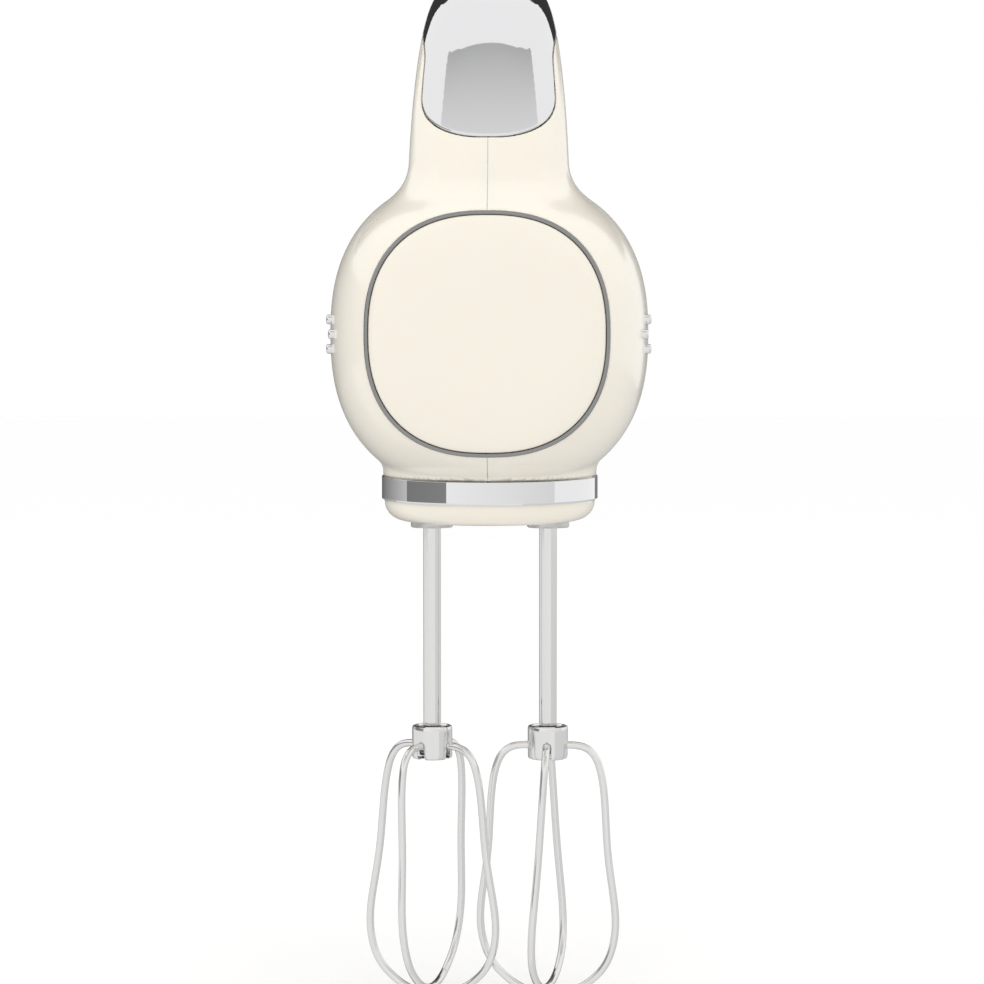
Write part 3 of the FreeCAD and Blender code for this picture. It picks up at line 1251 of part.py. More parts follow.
deck_top = top_at(slot_middle) + 0.3
knob_low = deck_top + 0.2
STEM_HALF = 2.2
slider_y = s.slot_front + STEM_HALF + 0.8
knob = stadium(0, s.slider_half_wide, s.slider_half_long, 0, s.slider_tall)
knob = knob.makeFillet(0.9, [e for e in knob.Edges if e.BoundBox.ZMin > s.slider_tall - 0.01])
knob.rotate(Vector(0, 0, 0), Z_DIR, 90)
knob.translate(Vector(0, slider_y, knob_low))
knob = knob.cut([block(-FAR, FAR, slider_y - 0.4, slider_y + 0.4, knob_low + s.slider_tall - 0.5, HIGH)])
stem_low = board_top + POT_TALL + 0.1
stem = block(-1.2, 1.2, slider_y - STEM_HALF, slider_y + STEM_HALF, stem_low, knob_low + 0.5)
group("speed_slider", [knob.fuse(stem)])

turbo_top = top_at(s.turbo_y) + s.turbo_proud
turbo = disc(s.turbo_radius, 0, s.turbo_y, turbo_top - 7, 7)
rim = [e for e in turbo.Edges if len(e.Vertexes) == 1 and e.BoundBox.ZMin > turbo_top - 0.01]
turbo = turbo.makeFillet(0.8, rim)
turbo = turbo.fuse(disc(s.turbo_radius + 0.9, 0, s.turbo_y, turbo_top - 8.2, 1.3))
plunger_low = switch_top + s.turbo_travel + 0.1
turbo = turbo.fuse(disc(2.0, 0, s.turbo_y, plunger_low, turbo_top - 7.9 - plunger_low))
group("turbo_button", [turbo])


# ---------------------------------------------------------------- checks and export

doc.recompute()
for piece in doc.Objects:
    if any(word in piece.State for word in ("Invalid", "Error")):
        raise RuntimeError(f"{piece.Label}: {piece.State}")
for piece in nodes:
    if piece.Shape.isNull() or not piece.Shape.isValid():
        raise RuntimeError(f"{piece.Label}: the shape is not valid")

os.makedirs("parts", exist_ok=True)
for piece in nodes:
    piece.Shape.exportStep(f"parts/{piece.Label}.step")
    print(f"{piece.Label:24s} {len(piece.Shape.Solids)} solid  {piece.Shape.Volume:10.1f} mm3")
print(len(nodes), "sub-parts")
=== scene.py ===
# %% [markdown]
# # A hand mixer, drawn from its formulas
#
# This scene draws a small kitchen mixer: a rounded cream body, a loop handle under a bright
# cover, an oval base with a polished band, and two wire beaters that hang from it.
#
# The frame of the object is already known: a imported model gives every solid, its place and
# the joints it moves on. What is added here is the look. Every visible skin is computed again
# as a smooth surface, from a formula given in the words above it, and rides on the rigid body
# that it belongs to.
#
# Lengths below are in millimetres until a mesh is made; Blender gets metres.
# +Z is up, -Y is the nose, +X is to the right when the nose is faced, and the origin is
# midway between the two beater axes, on the flat underside of the base.

import json
import math

import bmesh
import bpy
import numpy as np
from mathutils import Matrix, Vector


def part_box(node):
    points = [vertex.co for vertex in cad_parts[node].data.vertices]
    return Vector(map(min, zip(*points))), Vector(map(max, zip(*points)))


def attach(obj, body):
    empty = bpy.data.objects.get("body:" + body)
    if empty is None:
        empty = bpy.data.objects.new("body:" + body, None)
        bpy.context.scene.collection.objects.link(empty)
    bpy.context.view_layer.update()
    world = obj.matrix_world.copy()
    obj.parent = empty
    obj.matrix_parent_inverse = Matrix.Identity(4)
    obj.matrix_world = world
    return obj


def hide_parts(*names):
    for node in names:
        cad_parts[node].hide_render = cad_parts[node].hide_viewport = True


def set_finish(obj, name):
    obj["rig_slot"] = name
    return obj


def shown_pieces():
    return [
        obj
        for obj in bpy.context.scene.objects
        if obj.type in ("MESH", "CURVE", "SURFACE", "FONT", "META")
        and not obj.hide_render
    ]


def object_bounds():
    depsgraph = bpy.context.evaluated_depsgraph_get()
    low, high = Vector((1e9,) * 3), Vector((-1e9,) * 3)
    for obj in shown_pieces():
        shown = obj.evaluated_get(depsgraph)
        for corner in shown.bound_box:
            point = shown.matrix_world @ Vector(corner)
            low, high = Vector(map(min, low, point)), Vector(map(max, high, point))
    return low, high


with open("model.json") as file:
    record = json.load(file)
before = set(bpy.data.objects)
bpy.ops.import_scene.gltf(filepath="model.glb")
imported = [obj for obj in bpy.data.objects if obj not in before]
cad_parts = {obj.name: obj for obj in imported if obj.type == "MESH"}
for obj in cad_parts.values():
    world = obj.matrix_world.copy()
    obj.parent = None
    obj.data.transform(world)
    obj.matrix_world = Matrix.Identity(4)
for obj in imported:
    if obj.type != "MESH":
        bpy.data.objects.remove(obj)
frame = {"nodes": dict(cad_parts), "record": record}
START_BOUNDS = [list(map(float, corner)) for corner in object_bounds()]
print("nodes:", len(frame["nodes"]), "overall box:", START_BOUNDS)

# %% [markdown]
# ## From arrays to meshes
#
# A surface is two arrays: points, and the faces that join them. `make_piece` hands them to
# Blender in one go. Its last step marks as sharp any edge that bends more than an angle, so
# that the rest is shaded as one smooth skin.
#
# `lattice` numbers the faces of a grid of points. A grid can close on itself in either
# direction, as a tube closes round its axis.
#
# Faces have to point outward. The volume that a closed surface holds comes out negative when
# it is inside out, so `make_piece` measures it and turns the faces round where needed. It
# also joins points that share a place, which closes the poles of domes and lathe forms.

# %% Mesh helpers
MM = 0.001


def outward(points, groups):
    """Turns faces round where the volume, the sum of A . (B x C) / 6 over triangles, is negative."""
    volume = 0.0
    for group in groups:
        for k in range(1, group.shape[1] - 1):
            a, b, c = points[group[:, 0]], points[group[:, k]], points[group[:, k + 1]]
            volume += (a * np.cross(b, c)).sum() / 6
    return groups if volume > 0 else [g[:, ::-1] for g in groups]


def make_piece(name, points, faces, body, slot, sharp=40.0, wall=0.0, old=()):
    """A mesh object from points in mm; wall thickens it inward; old names the nodes it stands for."""
    points = np.asarray(points, dtype=np.float64) * MM
    groups = [np.asarray(f, dtype=np.int64) for f in (faces if isinstance(faces, list) else [faces])]
    if not wall:
        groups = outward(points, groups)
    mesh = bpy.data.meshes.new(name)
    corners = np.concatenate([g.ravel() for g in groups])
    counts = np.concatenate([np.full(len(g), g.shape[1]) for g in groups])
    mesh.vertices.add(len(points))
    mesh.vertices.foreach_set("co", points.astype(np.float32).ravel())
    mesh.loops.add(len(corners))
    mesh.loops.foreach_set("vertex_index", corners.astype(np.int32))
    mesh.polygons.add(len(counts))
    starts = np.concatenate([[0], np.cumsum(counts)[:-1]]).astype(np.int32)
    mesh.polygons.foreach_set("loop_start", starts)
    mesh.update(calc_edges=True)
    sewn = bmesh.new()
    sewn.from_mesh(mesh)
    bmesh.ops.remove_doubles(sewn, verts=sewn.verts, dist=2e-6)
    bmesh.ops.dissolve_degenerate(sewn, edges=sewn.edges, dist=1e-7)
    sewn.to_mesh(mesh)
    sewn.free()
    mesh.shade_smooth()
    mesh.set_sharp_from_angle(angle=math.radians(sharp))
    piece = bpy.data.objects.new(name, mesh)
    bpy.context.scene.collection.objects.link(piece)
    if wall:
        thick = piece.modifiers.new("wall", "SOLIDIFY")
        thick.thickness = wall * MM
        thick.offset = -1.0
        thick.use_even_offset = False
    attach(piece, body)
    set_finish(piece, slot)
    if old:
        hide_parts(*old)
    return piece


def lattice(rows, columns, close_rows=False, close_columns=False):
    """Four-sided faces of a grid numbered row by row."""
    r = np.arange(rows if close_rows else rows - 1)
    c = np.arange(columns if close_columns else columns - 1)
    r, c = np.meshgrid(r, c, indexing="ij")
    down, right = (r + 1) % rows, (c + 1) % columns
    corners = [r * columns + c, r * columns + right, down * columns + right, down * columns + c]
    return np.stack(corners, axis=-1).reshape(-1, 4)


def fan(centre, ring):
    """Three-sided faces from one point to a closed ring of point numbers."""
    ring = np.asarray(ring)
    return np.stack([np.full(len(ring), centre), ring, np.roll(ring, -1)], axis=1)


def turned(profile, count=64, centre=(0, 0, 0), along="z", closed=False):
    """A lathe form. profile is (radius, height) from one end to the other, or a closed loop.

    point = centre + (radius cos t, radius sin t, height), t round the circle."""
    profile = np.asarray(profile, dtype=float)
    t = np.linspace(0, 2 * np.pi, count, endpoint=False)
    radius, height = profile[:, :1], profile[:, 1:]
    x, y = radius * np.cos(t), radius * np.sin(t)
    z = np.broadcast_to(height, x.shape)
    axes = {"z": (x, y, z), "y": (x, z, -y), "x": (z, y, -x)}[along]
    points = np.stack(axes, axis=-1).reshape(-1, 3) + np.asarray(centre, dtype=float)
    return points, lattice(len(profile), count, close_rows=closed, close_columns=True)


def rounded(corners, radius=0.4, steps=4):
    """A profile whose inner corners are rounded: each becomes an arc-like curve of short chords.

    Near corner P, with neighbours A and B, the curve is the quadratic
    (1-s)^2 P_a + 2 s (1-s) P + s^2 P_b, where P_a and P_b lie at the radius from P."""
    corners = np.asarray(corners, dtype=float)
    out = [corners[0]]
    for before, here, after in zip(corners[:-2], corners[1:-1], corners[2:]):
        a, b = before - here, after - here
        reach_a, reach_b = np.hypot(*a), np.hypot(*b)
        cut = min(radius, 0.45 * reach_a, 0.45 * reach_b)
        pa, pb = here + a / reach_a * cut, here + b / reach_b * cut
        s = np.linspace(0, 1, steps + 1)[:, None]
        out.extend((1 - s) ** 2 * pa + 2 * s * (1 - s) * here + s**2 * pb)
    out.append(corners[-1])
    return np.array(out)


def merged(parts):
    """Several (points, faces) joined into one."""
    points, faces, count = [], [], 0
    for p, f in parts:
        points.append(p)
        groups = f if isinstance(f, list) else [f]
        faces.extend(g + count for g in groups)
        count += len(p)
    quads = [g for g in faces if g.shape[1] == 4]
    tris = [g for g in faces if g.shape[1] == 3]
    return np.concatenate(points), [np.concatenate(g) for g in (quads, tris) if g]


# %% [markdown]
# ## The body as one formula
#
# The body is three simple forms melted together: a barrel, a handle and a skirt. For each one
# there is a function that says how far a point is outside it. The number is negative inside
# and zero on the skin.
#
# A *superellipse* is the curve |a/A|^n + |b/B|^n = 1. With n = 2 it is an ellipse, and as n
# grows it squares up. The barrel's section is a superellipse with n = 2.4, whose size
# follows one ellipse towards the nose and a longer one towards the heel.
#
# The distance from a superellipse is estimated along the ray from its centre: if the point
# is at radius r, and scaling the curve by q would bring it onto the point, then the skin is
# at r/q and the point is r - r/q outside.

# %% Barrel and skirt
BARREL_HALF, BARREL_POWER, BARREL_Z = 44.5, 2.4, 52.0
FULLEST_Y, NOSE_Y, HEEL_Y = -2.0, -56.0, 143.0
NOSE_REACH, NOSE_POWER, TAIL_REACH, TAIL_SQUASH, TAIL_RISE = 69.2, 2.5, 160.0, 0.24, 2.5
FOOT_HALF, FOOT_FRONT, FOOT_REAR, FOOT_POWER, SKIRT_TOP = 30.1, 41.5, 50.0, 2.15, 30.0
BAND_LOW, BAND_HIGH = 5.8, 12.5


def outside(a, b, half_a, half_b, power, extra=0.0):
    """Estimated distance outside a superellipse; extra is a distance in the third direction."""
    shape = (np.abs(a / half_a) ** power + np.abs(b / half_b) ** power) ** (1 / power)
    scale = np.maximum(np.sqrt(shape**2 + (extra / half_b) ** 2), 1e-6)
    radius = np.sqrt(a * a + b * b + extra * extra)
    return radius * (1 - 1 / scale)


def barrel_section(y):
    """Half width, half height and centre height of the barrel at a station."""
    front = np.clip((FULLEST_Y - y) / NOSE_REACH, 0, 0.995)
    rear = np.clip((y - FULLEST_Y) / TAIL_REACH, 0, 0.995)
    front_half = (1 - front**NOSE_POWER) ** (1 / NOSE_POWER)
    rear_half = np.sqrt(1 - rear**2)
    wide = BARREL_HALF * np.where(y < FULLEST_Y, front_half, rear_half)
    return wide, wide * (1 - TAIL_SQUASH * rear), BARREL_Z + TAIL_RISE * rear


def soft_min(a, b, blend):
    """The smaller of two distances, with the corner between them filled by a soft fillet.

    min(a, b) - h^2 blend / 4, where h = max(1 - |a - b| / blend, 0)."""
    h = np.maximum(1 - np.abs(a - b) / blend, 0)
    return np.minimum(a, b) - h * h * blend / 4


def barrel_gap(p):
    """Distance outside the barrel, which ends flat at the heel with a rounded edge."""
    x, y, z = p[..., 0], p[..., 1], p[..., 2]
    wide, high, middle = barrel_section(y)
    side = outside(x, z - middle, wide, high, BARREL_POWER)
    return -soft_min(-side, HEEL_Y - y, 3.0)


def oval_gap(p, grow=0.0):
    """Distance outside the foot's oval, in plan: half an oval in front, half behind."""
    x, y = p[..., 0], p[..., 1] - FULLEST_Y
    reach = np.where(y > 0, FOOT_REAR, FOOT_FRONT)
    return outside(x, y, FOOT_HALF + grow, reach + grow, FOOT_POWER)


# %% [markdown]
# ## The handle's curve
#
# The handle is a tube along a *B-spline*: a smooth curve pulled towards eight poles in the
# plane X = 0. Each pole has a weight that rises and falls along the curve, given by the
# Cox-de Boor rule: a weight of degree k is a blend of two weights of degree k - 1.
#
# To find how far a point is from the tube, the nearest place on the curve is needed. A table
# over the plane X = 0 gives a first guess, and Newton's steps make it exact: the place is
# right when the line to the point is square to the curve, (c(u) - p) . c'(u) = 0.

# %% Handle
POLES = np.array(
    [(-27, 76), (-21, 103), (-7, 140), (34, 141.4), (78, 141.4), (124, 138), (128, 100), (124, 68)],
    dtype=float,
)
KNOTS = np.array([0, 0, 0, 0, 0.2, 0.4, 0.6, 0.8, 1, 1, 1, 1])
HANDLE_POWER = 2.5
WIDE = (22.4, 16.2, 17.0)  # half width at the neck, the grip and the rear post
DEEP = (20.5, 15.2, 15.5)  # half depth at the same places
GRIP_FROM, GRIP_TO = 0.40, 0.66


def weights(u, degree):
    """Cox-de Boor: the weight of each pole at places u, all at once."""
    u = np.clip(np.asarray(u, dtype=float), 0, 1 - 1e-9)[..., None]
    found = ((u >= KNOTS[:-1]) & (u < KNOTS[1:])).astype(float)
    for k in range(1, degree + 1):
        left, right = KNOTS[: -k - 1], KNOTS[k + 1 :]
        span_a, span_b = KNOTS[k:-1] - left, right - KNOTS[1:-k]
        rise = np.where(span_a > 0, (u - left) / np.where(span_a > 0, span_a, 1), 0)
        fall = np.where(span_b > 0, (right - u) / np.where(span_b > 0, span_b, 1), 0)
        found = rise * found[..., :-1] + fall * found[..., 1:]
    return found


def curve(u):
    """The place on the handle's curve and its first two derivatives, each as (y, z)."""
    slope_poles = 3 * np.diff(POLES, axis=0) / (KNOTS[4:11] - KNOTS[1:8])[:, None]
    bend_poles = 2 * np.diff(slope_poles, axis=0) / (KNOTS[4:10] - KNOTS[2:8])[:, None]
    cubic, quadratic, linear = weights(u, 3), weights(u, 2), weights(u, 1)
    return cubic @ POLES, quadratic[..., 1:-1] @ slope_poles, linear[..., 2:-2] @ bend_poles


TABLE_Y, TABLE_Z = np.arange(-60, 160, 2.0), np.arange(40, 175, 2.0)
samples = np.linspace(0, 1, 241)
track = curve(samples)[0]
grid_y, grid_z = np.meshgrid(TABLE_Y, TABLE_Z, indexing="ij")
far = (grid_y[..., None] - track[:, 0]) ** 2 + (grid_z[..., None] - track[:, 1]) ** 2
NEAREST = samples[np.argmin(far, axis=-1)]


def nearest(y, z):
    """The share of the curve nearest to each (y, z): a guess from the table, then Newton's steps."""
    row = np.clip(np.rint((y - TABLE_Y[0]) / 2).astype(int), 0, len(TABLE_Y) - 1)
    column = np.clip(np.rint((z - TABLE_Z[0]) / 2).astype(int), 0, len(TABLE_Z) - 1)
    u = NEAREST[row, column]
    here = np.stack([y, z], axis=-1)
    for _ in range(4):
        c, d, b = curve(u)
        miss = ((c - here) * d).sum(-1)
        slope = (d * d).sum(-1) + ((c - here) * b).sum(-1)
        u = np.clip(u - np.clip(miss / np.maximum(slope, 300.0), -0.03, 0.03), 0, 1)
    return u


def ease(low, high, value):
    """0 below low, 1 above high, and t^2 (3 - 2t) between."""
    t = np.clip((value - low) / (high - low), 0, 1)
    return t * t * (3 - 2 * t)


def handle_parts(p):
    """Share of the curve, outward offset, offset past an end, half depth and half width."""
    u = nearest(p[..., 1], p[..., 2])
    c, d, _ = curve(u)
    d = d / np.linalg.norm(d, axis=-1, keepdims=True)
    off = p[..., 1:] - c
    outward = -off[..., 0] * d[..., 1] + off[..., 1] * d[..., 0]
    past = (off * d).sum(-1)
    to_grip, to_post = ease(0, GRIP_FROM, u), ease(GRIP_TO, 1, u)
    deep, wide = (n + (g - n) * to_grip + (r - g) * to_post for n, g, r in (DEEP, WIDE))
    return u, outward, past, deep, wide


def handle_gap(p):
    """Distance outside the handle."""
    _, outward, past, deep, wide = handle_parts(p)
    return outside(p[..., 0], outward, wide, deep, HANDLE_POWER, past)


def body_gap(p):
    """Distance outside the whole body: barrel, skirt and handle melted together."""
    skirt = np.maximum(oval_gap(p), p[..., 2] - SKIRT_TOP)
    hull = soft_min(barrel_gap(p), skirt, 2.0)
    near = p[..., 2] > 60
    gap = hull.copy()
    gap[near] = soft_min(hull[near], handle_gap(p[near]), 7.0)
    return gap


print("handle runs from", curve(0.0)[0], "to", curve(1.0)[0])

# %% [markdown]
# ## From a formula to a skin: surface nets
#
# The formula is sampled on a grid of small cubes. Where a cube has corners both inside and
# outside, the skin passes through it, and the cube gets one point: the mean of the places
# where its edges cross zero. Wherever a grid edge crosses the skin, the four cubes round it
# are joined by one face. Newton's steps then slide each point along the formula's slope, by
# gap / |slope|, until it lies on the skin itself.

# %% Surface nets and settling


def slope(gap, p, step=0.02):
    """The direction in which gap grows fastest, by differences across each point."""
    parts = []
    for axis in range(3):
        aside = np.zeros(3)
        aside[axis] = step
        parts.append((gap(p + aside) - gap(p - aside)) / (2 * step))
    return np.stack(parts, axis=-1)


def settle(gap, p, times=3):
    """Points moved on to the skin gap = 0, where a formula for it is given."""
    for _ in range(times if gap else 0):
        g = slope(gap, p)
        p = p - (gap(p) / np.maximum((g * g).sum(-1), 1e-6))[:, None] * g
    return p


def surface_net(gap, low, high, cell):
    """Points and four-sided faces of the skin gap = 0 inside a box."""
    axes = [np.arange(a, b + cell, cell) for a, b in zip(low, high)]
    grid = np.stack(np.meshgrid(*axes, indexing="ij"), axis=-1)
    value = gap(grid.reshape(-1, 3)).reshape(grid.shape[:3])
    inside = value < 0
    nx, ny, nz = (n - 1 for n in inside.shape)
    total, hits = np.zeros((nx, ny, nz, 3)), np.zeros((nx, ny, nz))
    faces = []
    for axis in range(3):
        shift = np.eye(3, dtype=int)[axis]
        lo = tuple(slice(0, n - s) for n, s in zip(inside.shape, shift))
        hi = tuple(slice(s, n) for n, s in zip(inside.shape, shift))
        cross = inside[lo] != inside[hi]
        where = np.argwhere(cross)
        va, vb = value[lo][cross], value[hi][cross]
        spot = grid[lo][cross] + shift * cell * (va / (va - vb))[:, None]
        others = [a for a in range(3) if a != axis]
        for da in (0, 1):
            for db in (0, 1):
                cube = where.copy()
                cube[:, others[0]] -= da
                cube[:, others[1]] -= db
                ok = ((cube >= 0) & (cube < (nx, ny, nz))).all(axis=1)
                np.add.at(total, tuple(cube[ok].T), spot[ok])
                np.add.at(hits, tuple(cube[ok].T), 1)
        rim = (where[:, others[0]] > 0) & (where[:, others[1]] > 0)
        for other in others:
            rim &= where[:, other] < (nx, ny, nz)[other]
        base = where[rim]
        ring = []
        for da, db in ((0, 0), (1, 0), (1, 1), (0, 1)):
            cube = base.copy()
            cube[:, others[0]] -= da
            cube[:, others[1]] -= db
            ring.append(np.ravel_multi_index(cube.T, (nx, ny, nz)))
        quad = np.stack(ring, axis=1)
        flip = inside[lo][cross][rim] == (axis != 1)
        quad[~flip] = quad[~flip][:, ::-1]
        faces.append(quad)
    used = hits.ravel() > 0
    number = np.cumsum(used) - 1
    points = total.reshape(-1, 3)[used] / hits.ravel()[used][:, None]
    return points, number[np.concatenate(faces)]


# %% [markdown]
# ## Cutting a skin along a line
#
# One skin becomes several pieces, and their edges must be crisp. A cut is given by a number
# at every point: positive on the side to keep. Where an edge of a triangle changes sign, a
# new point is put at the crossing, and the triangle is divided into smaller ones. The same
# step, with every chosen edge divided in the middle, makes the triangles finer where a small
# feature is coming.

# %% Dividing and cutting triangles


def divided(points, tris, chosen, part):
    """Puts a point on chosen edges, at a part of the way along each, and divides the triangles.

    chosen and part are asked about an array of edges (a, b), with a < b."""
    ends = np.stack([tris, np.roll(tris, -1, axis=1)], axis=-1).reshape(-1, 2)
    edges, back = np.unique(np.sort(ends, axis=1), axis=0, return_inverse=True)
    back = back.reshape(-1, 3)
    pick = chosen(edges)
    t = np.clip(part(edges[pick]), 0.02, 0.98)[:, None]
    added = points[edges[pick, 0]] * (1 - t) + points[edges[pick, 1]] * t
    number = np.full(len(edges), -1)
    number[pick] = len(points) + np.arange(pick.sum())
    mid = number[back]
    has = mid >= 0
    count = has.sum(axis=1)
    out = [tris[count == 0]]
    turns = [(0, 1, 2), (1, 2, 0), (2, 0, 1)]
    for order in turns:
        a, b, c = (tris[:, i] for i in order)
        m = mid[:, order]
        one = (count == 1) & has[:, order[0]]
        out.append(np.stack([a, m[:, 0], c], axis=1)[one])
        out.append(np.stack([m[:, 0], b, c], axis=1)[one])
        two = (count == 2) & has[:, order[0]] & has[:, order[1]]
        out.append(np.stack([m[:, 0], b, m[:, 1]], axis=1)[two])
        out.append(np.stack([a, m[:, 0], m[:, 1]], axis=1)[two])
        out.append(np.stack([a, m[:, 1], c], axis=1)[two])
    all_three = count == 3
    a, b, c = tris[all_three].T
    ab, bc, ca = mid[all_three].T
    for trio in ((a, ab, ca), (ab, b, bc), (ca, bc, c), (ab, bc, ca)):
        out.append(np.stack(trio, axis=1))
    return np.concatenate([points, added]), np.concatenate(out)


def refined(points, tris, near, gap):
    """Divides in four the triangles whose edges are near a feature. near gives True per point."""
    mark = near(points)
    halves = lambda e: np.full(len(e), 0.5)
    count = len(points)
    points, tris = divided(points, tris, lambda e: mark[e[:, 0]] | mark[e[:, 1]], halves)
    points[count:] = settle(gap, points[count:], 2)
    return points, tris


def scored(points, tris, side, gap, reach=0.2):
    """Adds a line of edges where side = 0, after sliding the points within reach on to it."""
    value = side(points)
    band = np.abs(value) < 4 * reach
    g = np.ones_like(points)
    g[band] = slope(side, points[band], 0.01)
    size = np.linalg.norm(g, axis=1).clip(1e-6)
    close = band & (np.abs(value) < reach * size)
    points = points.copy()
    points[close] -= (value[close] / size[close] ** 2)[:, None] * g[close]
    points[close] = settle(gap, points[close], 1)
    value[close] = 0.0
    sign = np.sign(value)
    count = len(points)
    crossing = lambda e: sign[e[:, 0]] * sign[e[:, 1]] < 0
    place = lambda e: value[e[:, 0]] / (value[e[:, 0]] - value[e[:, 1]])
    points, tris = divided(points, tris, crossing, place)
    points[count:] = settle(gap, points[count:], 1)
    value = np.concatenate([value, np.zeros(len(points) - count)])
    return points, tris, value


def trimmed(points, tris, side, gap, reach=0.2):
    """Keeps the part of a skin where side > 0, with a crisp edge."""
    points, tris, value = scored(points, tris, side, gap, reach)
    keep = value[tris].sum(axis=1) > 0
    return compact(points, tris[keep])


def compact(points, tris):
    """Drops points that no triangle uses, and triangles that have shrunk to a line."""
    a, b, c = points[tris[:, 0]], points[tris[:, 1]], points[tris[:, 2]]
    tris = tris[np.linalg.norm(np.cross(b - a, c - a), axis=1) > 1e-7]
    used = np.unique(tris)
    number = np.full(len(points), -1)
    number[used] = np.arange(len(used))
    return points[used], number[tris]

# %% [markdown]
# ## The body's skin
#
# The skin is found once, for the half with X > 0. Everything outside is cut from it: the
# casing half, half of the bright cover and of the control deck. The other half is its mirror
# image, apart from the screw plugs, which are on the left only.
#
# The cover's rim is a line given in the handle's own measures: at each share of the curve it
# lies a given number of half depths above the centre line. It starts low at the front of the
# neck, as a round tongue, and climbs to the middle of the grip's sides.

# %% Where each piece ends
TONGUE_TIP, REAR_TIP, TONGUE_LONG = 0.063, 0.90, 0.045
TONGUE_RIM, COVER_RIM = 0.62, 0.08


def rim_height(share):
    """Height of the cover's rim above the centre line, in half depths."""
    fallen = ease(0.140, 0.250, share) - ease(0.74, 0.84, share)
    height = TONGUE_RIM + (COVER_RIM - TONGUE_RIM) * fallen
    for end, way in ((TONGUE_TIP, 1), (REAR_TIP, -1)):
        inside = np.clip(way * (share - end) / TONGUE_LONG, 0, 1)
        height = 1 - (1 - height) * np.sin(np.pi / 2 * inside)
    return height


rim_share = TONGUE_TIP + (REAR_TIP - TONGUE_TIP) * (1 - np.cos(np.linspace(0, np.pi, 241))) / 2
rim_c, rim_d, _ = curve(rim_share)
rim_d = rim_d / np.linalg.norm(rim_d, axis=1, keepdims=True)
rim_out = np.stack([-rim_d[:, 1], rim_d[:, 0]], axis=1)
to_grip, to_post = ease(0, GRIP_FROM, rim_share), ease(GRIP_TO, 1, rim_share)
rim_deep = DEEP[0] + (DEEP[1] - DEEP[0]) * to_grip + (DEEP[2] - DEEP[1]) * to_post
RIM_LINE = rim_c + rim_out * (rim_height(rim_share) * rim_deep)[:, None]


def rim_side(p):
    """Distance inside the cover's rim, seen from the side; negative on the casing."""
    value = np.full(len(p), -9.0)
    near = np.flatnonzero((p[:, 2] > 92) & (handle_gap(p) < 6))
    q = p[near]
    u, outward, _, deep, _ = handle_parts(q)
    start, end = RIM_LINE[:-1], RIM_LINE[1:]
    along = end - start
    off = q[:, None, 1:] - start
    t = np.clip((off * along).sum(-1) / (along * along).sum(-1), 0, 1)
    away = np.sqrt(((off - t[..., None] * along) ** 2).sum(-1).min(axis=1))
    inner = (outward > rim_height(u) * deep) & (u > TONGUE_TIP) & (u < REAR_TIP)
    value[near] = np.where(inner, away, -away)
    return np.clip(value, -9, 9)


def capsule(a, b, half_long, half_wide):
    """Distance inside a flat shape with round ends, long along a."""
    past = np.maximum(np.abs(a) - (half_long - half_wide), 0)
    return half_wide - np.hypot(past, b)


DECK_Y, DECK_LONG, DECK_WIDE = 45.5, 43.0, 9.5
LENS_Y, LENS_LONG, LENS_WIDE = 33.0, 8.5, 6.2
EJECT_Y, EJECT_R, TURBO_Y, TURBO_R = 13.0, 5.6, 80.5, 5.2
SLOT_Y, SLOT_LONG, SLOT_WIDE = 59.0, 11.0, 1.5
PLUGS = [(-38.0, 80.0), (70.0, 81.0), (130.0, 56.0), (74.0, 22.5), (-27.0, 98.0), (108.0, 134.0)]
GLAND_Z, GLAND_R = 92.0, 6.5
VENT_Y, VENT_PITCH, VENT_COUNT, VENT_HALF, VENT_LOW, VENT_HIGH = 84.0, 5.0, 6, 1.1, 34.0, 47.0


def deck_side(p):
    """Distance inside the deck's outline, on top of the handle only."""
    return np.where(p[:, 2] > 140, capsule(p[:, 1] - DECK_Y, p[:, 0], DECK_LONG, DECK_WIDE), -9)


def lens_side(p):
    return np.where(p[:, 2] > 140, capsule(p[:, 1] - LENS_Y, p[:, 0], LENS_LONG, LENS_WIDE), -9)


def vent_side(p):
    """Distance inside the nearest air slot."""
    mid, tall = (VENT_LOW + VENT_HIGH) / 2, (VENT_HIGH - VENT_LOW) / 2
    step = np.clip(np.rint((p[:, 1] - VENT_Y) / VENT_PITCH), 0, VENT_COUNT - 1)
    return capsule(p[:, 2] - mid, p[:, 1] - VENT_Y - VENT_PITCH * step, tall, VENT_HALF)


def gland_side(p):
    return np.where(p[:, 1] > 130, GLAND_R + 0.1 - np.hypot(p[:, 0], p[:, 2] - GLAND_Z), -9)


def plug_side(p):
    """Distance inside the nearest screw hole."""
    spots = np.array(PLUGS)
    away = np.hypot(p[:, 1, None] - spots[:, 0], p[:, 2, None] - spots[:, 1])
    return 3.0 - away.min(axis=1)


# %% Find the skin and make it finer near its features
EDGE = 1.25
points, quads = surface_net(body_gap, (-EDGE, -58.75, 6.25), (47.5, 146.25, 158.75), EDGE)
points = settle(body_gap, points)
tris = np.concatenate([quads[:, [0, 1, 2]], quads[:, [0, 2, 3]]])
print("body skin:", len(points), "points,", len(tris), "triangles")


def features(reach, small):
    """True for points within reach of an edge to come; small is the reach for small holes."""

    def near(p):
        mark = np.abs(rim_side(p)) < reach
        for side in (deck_side, lens_side):
            mark |= np.abs(side(p)) < reach
        for side in (vent_side, gland_side, plug_side):
            mark |= np.abs(side(p)) < small
        return mark

    return near


points, tris = refined(points, tris, features(1.4, 1.6), body_gap)
points, tris = refined(points, tris, features(0.7, 0.8), body_gap)
points, tris = trimmed(points, tris, lambda p: p[:, 2] - BAND_HIGH, body_gap)
points, tris = trimmed(points, tris, lambda p: p[:, 1] - NOSE_Y - 0.05, body_gap)
print("with finer features:", len(points), "points,", len(tris), "triangles")

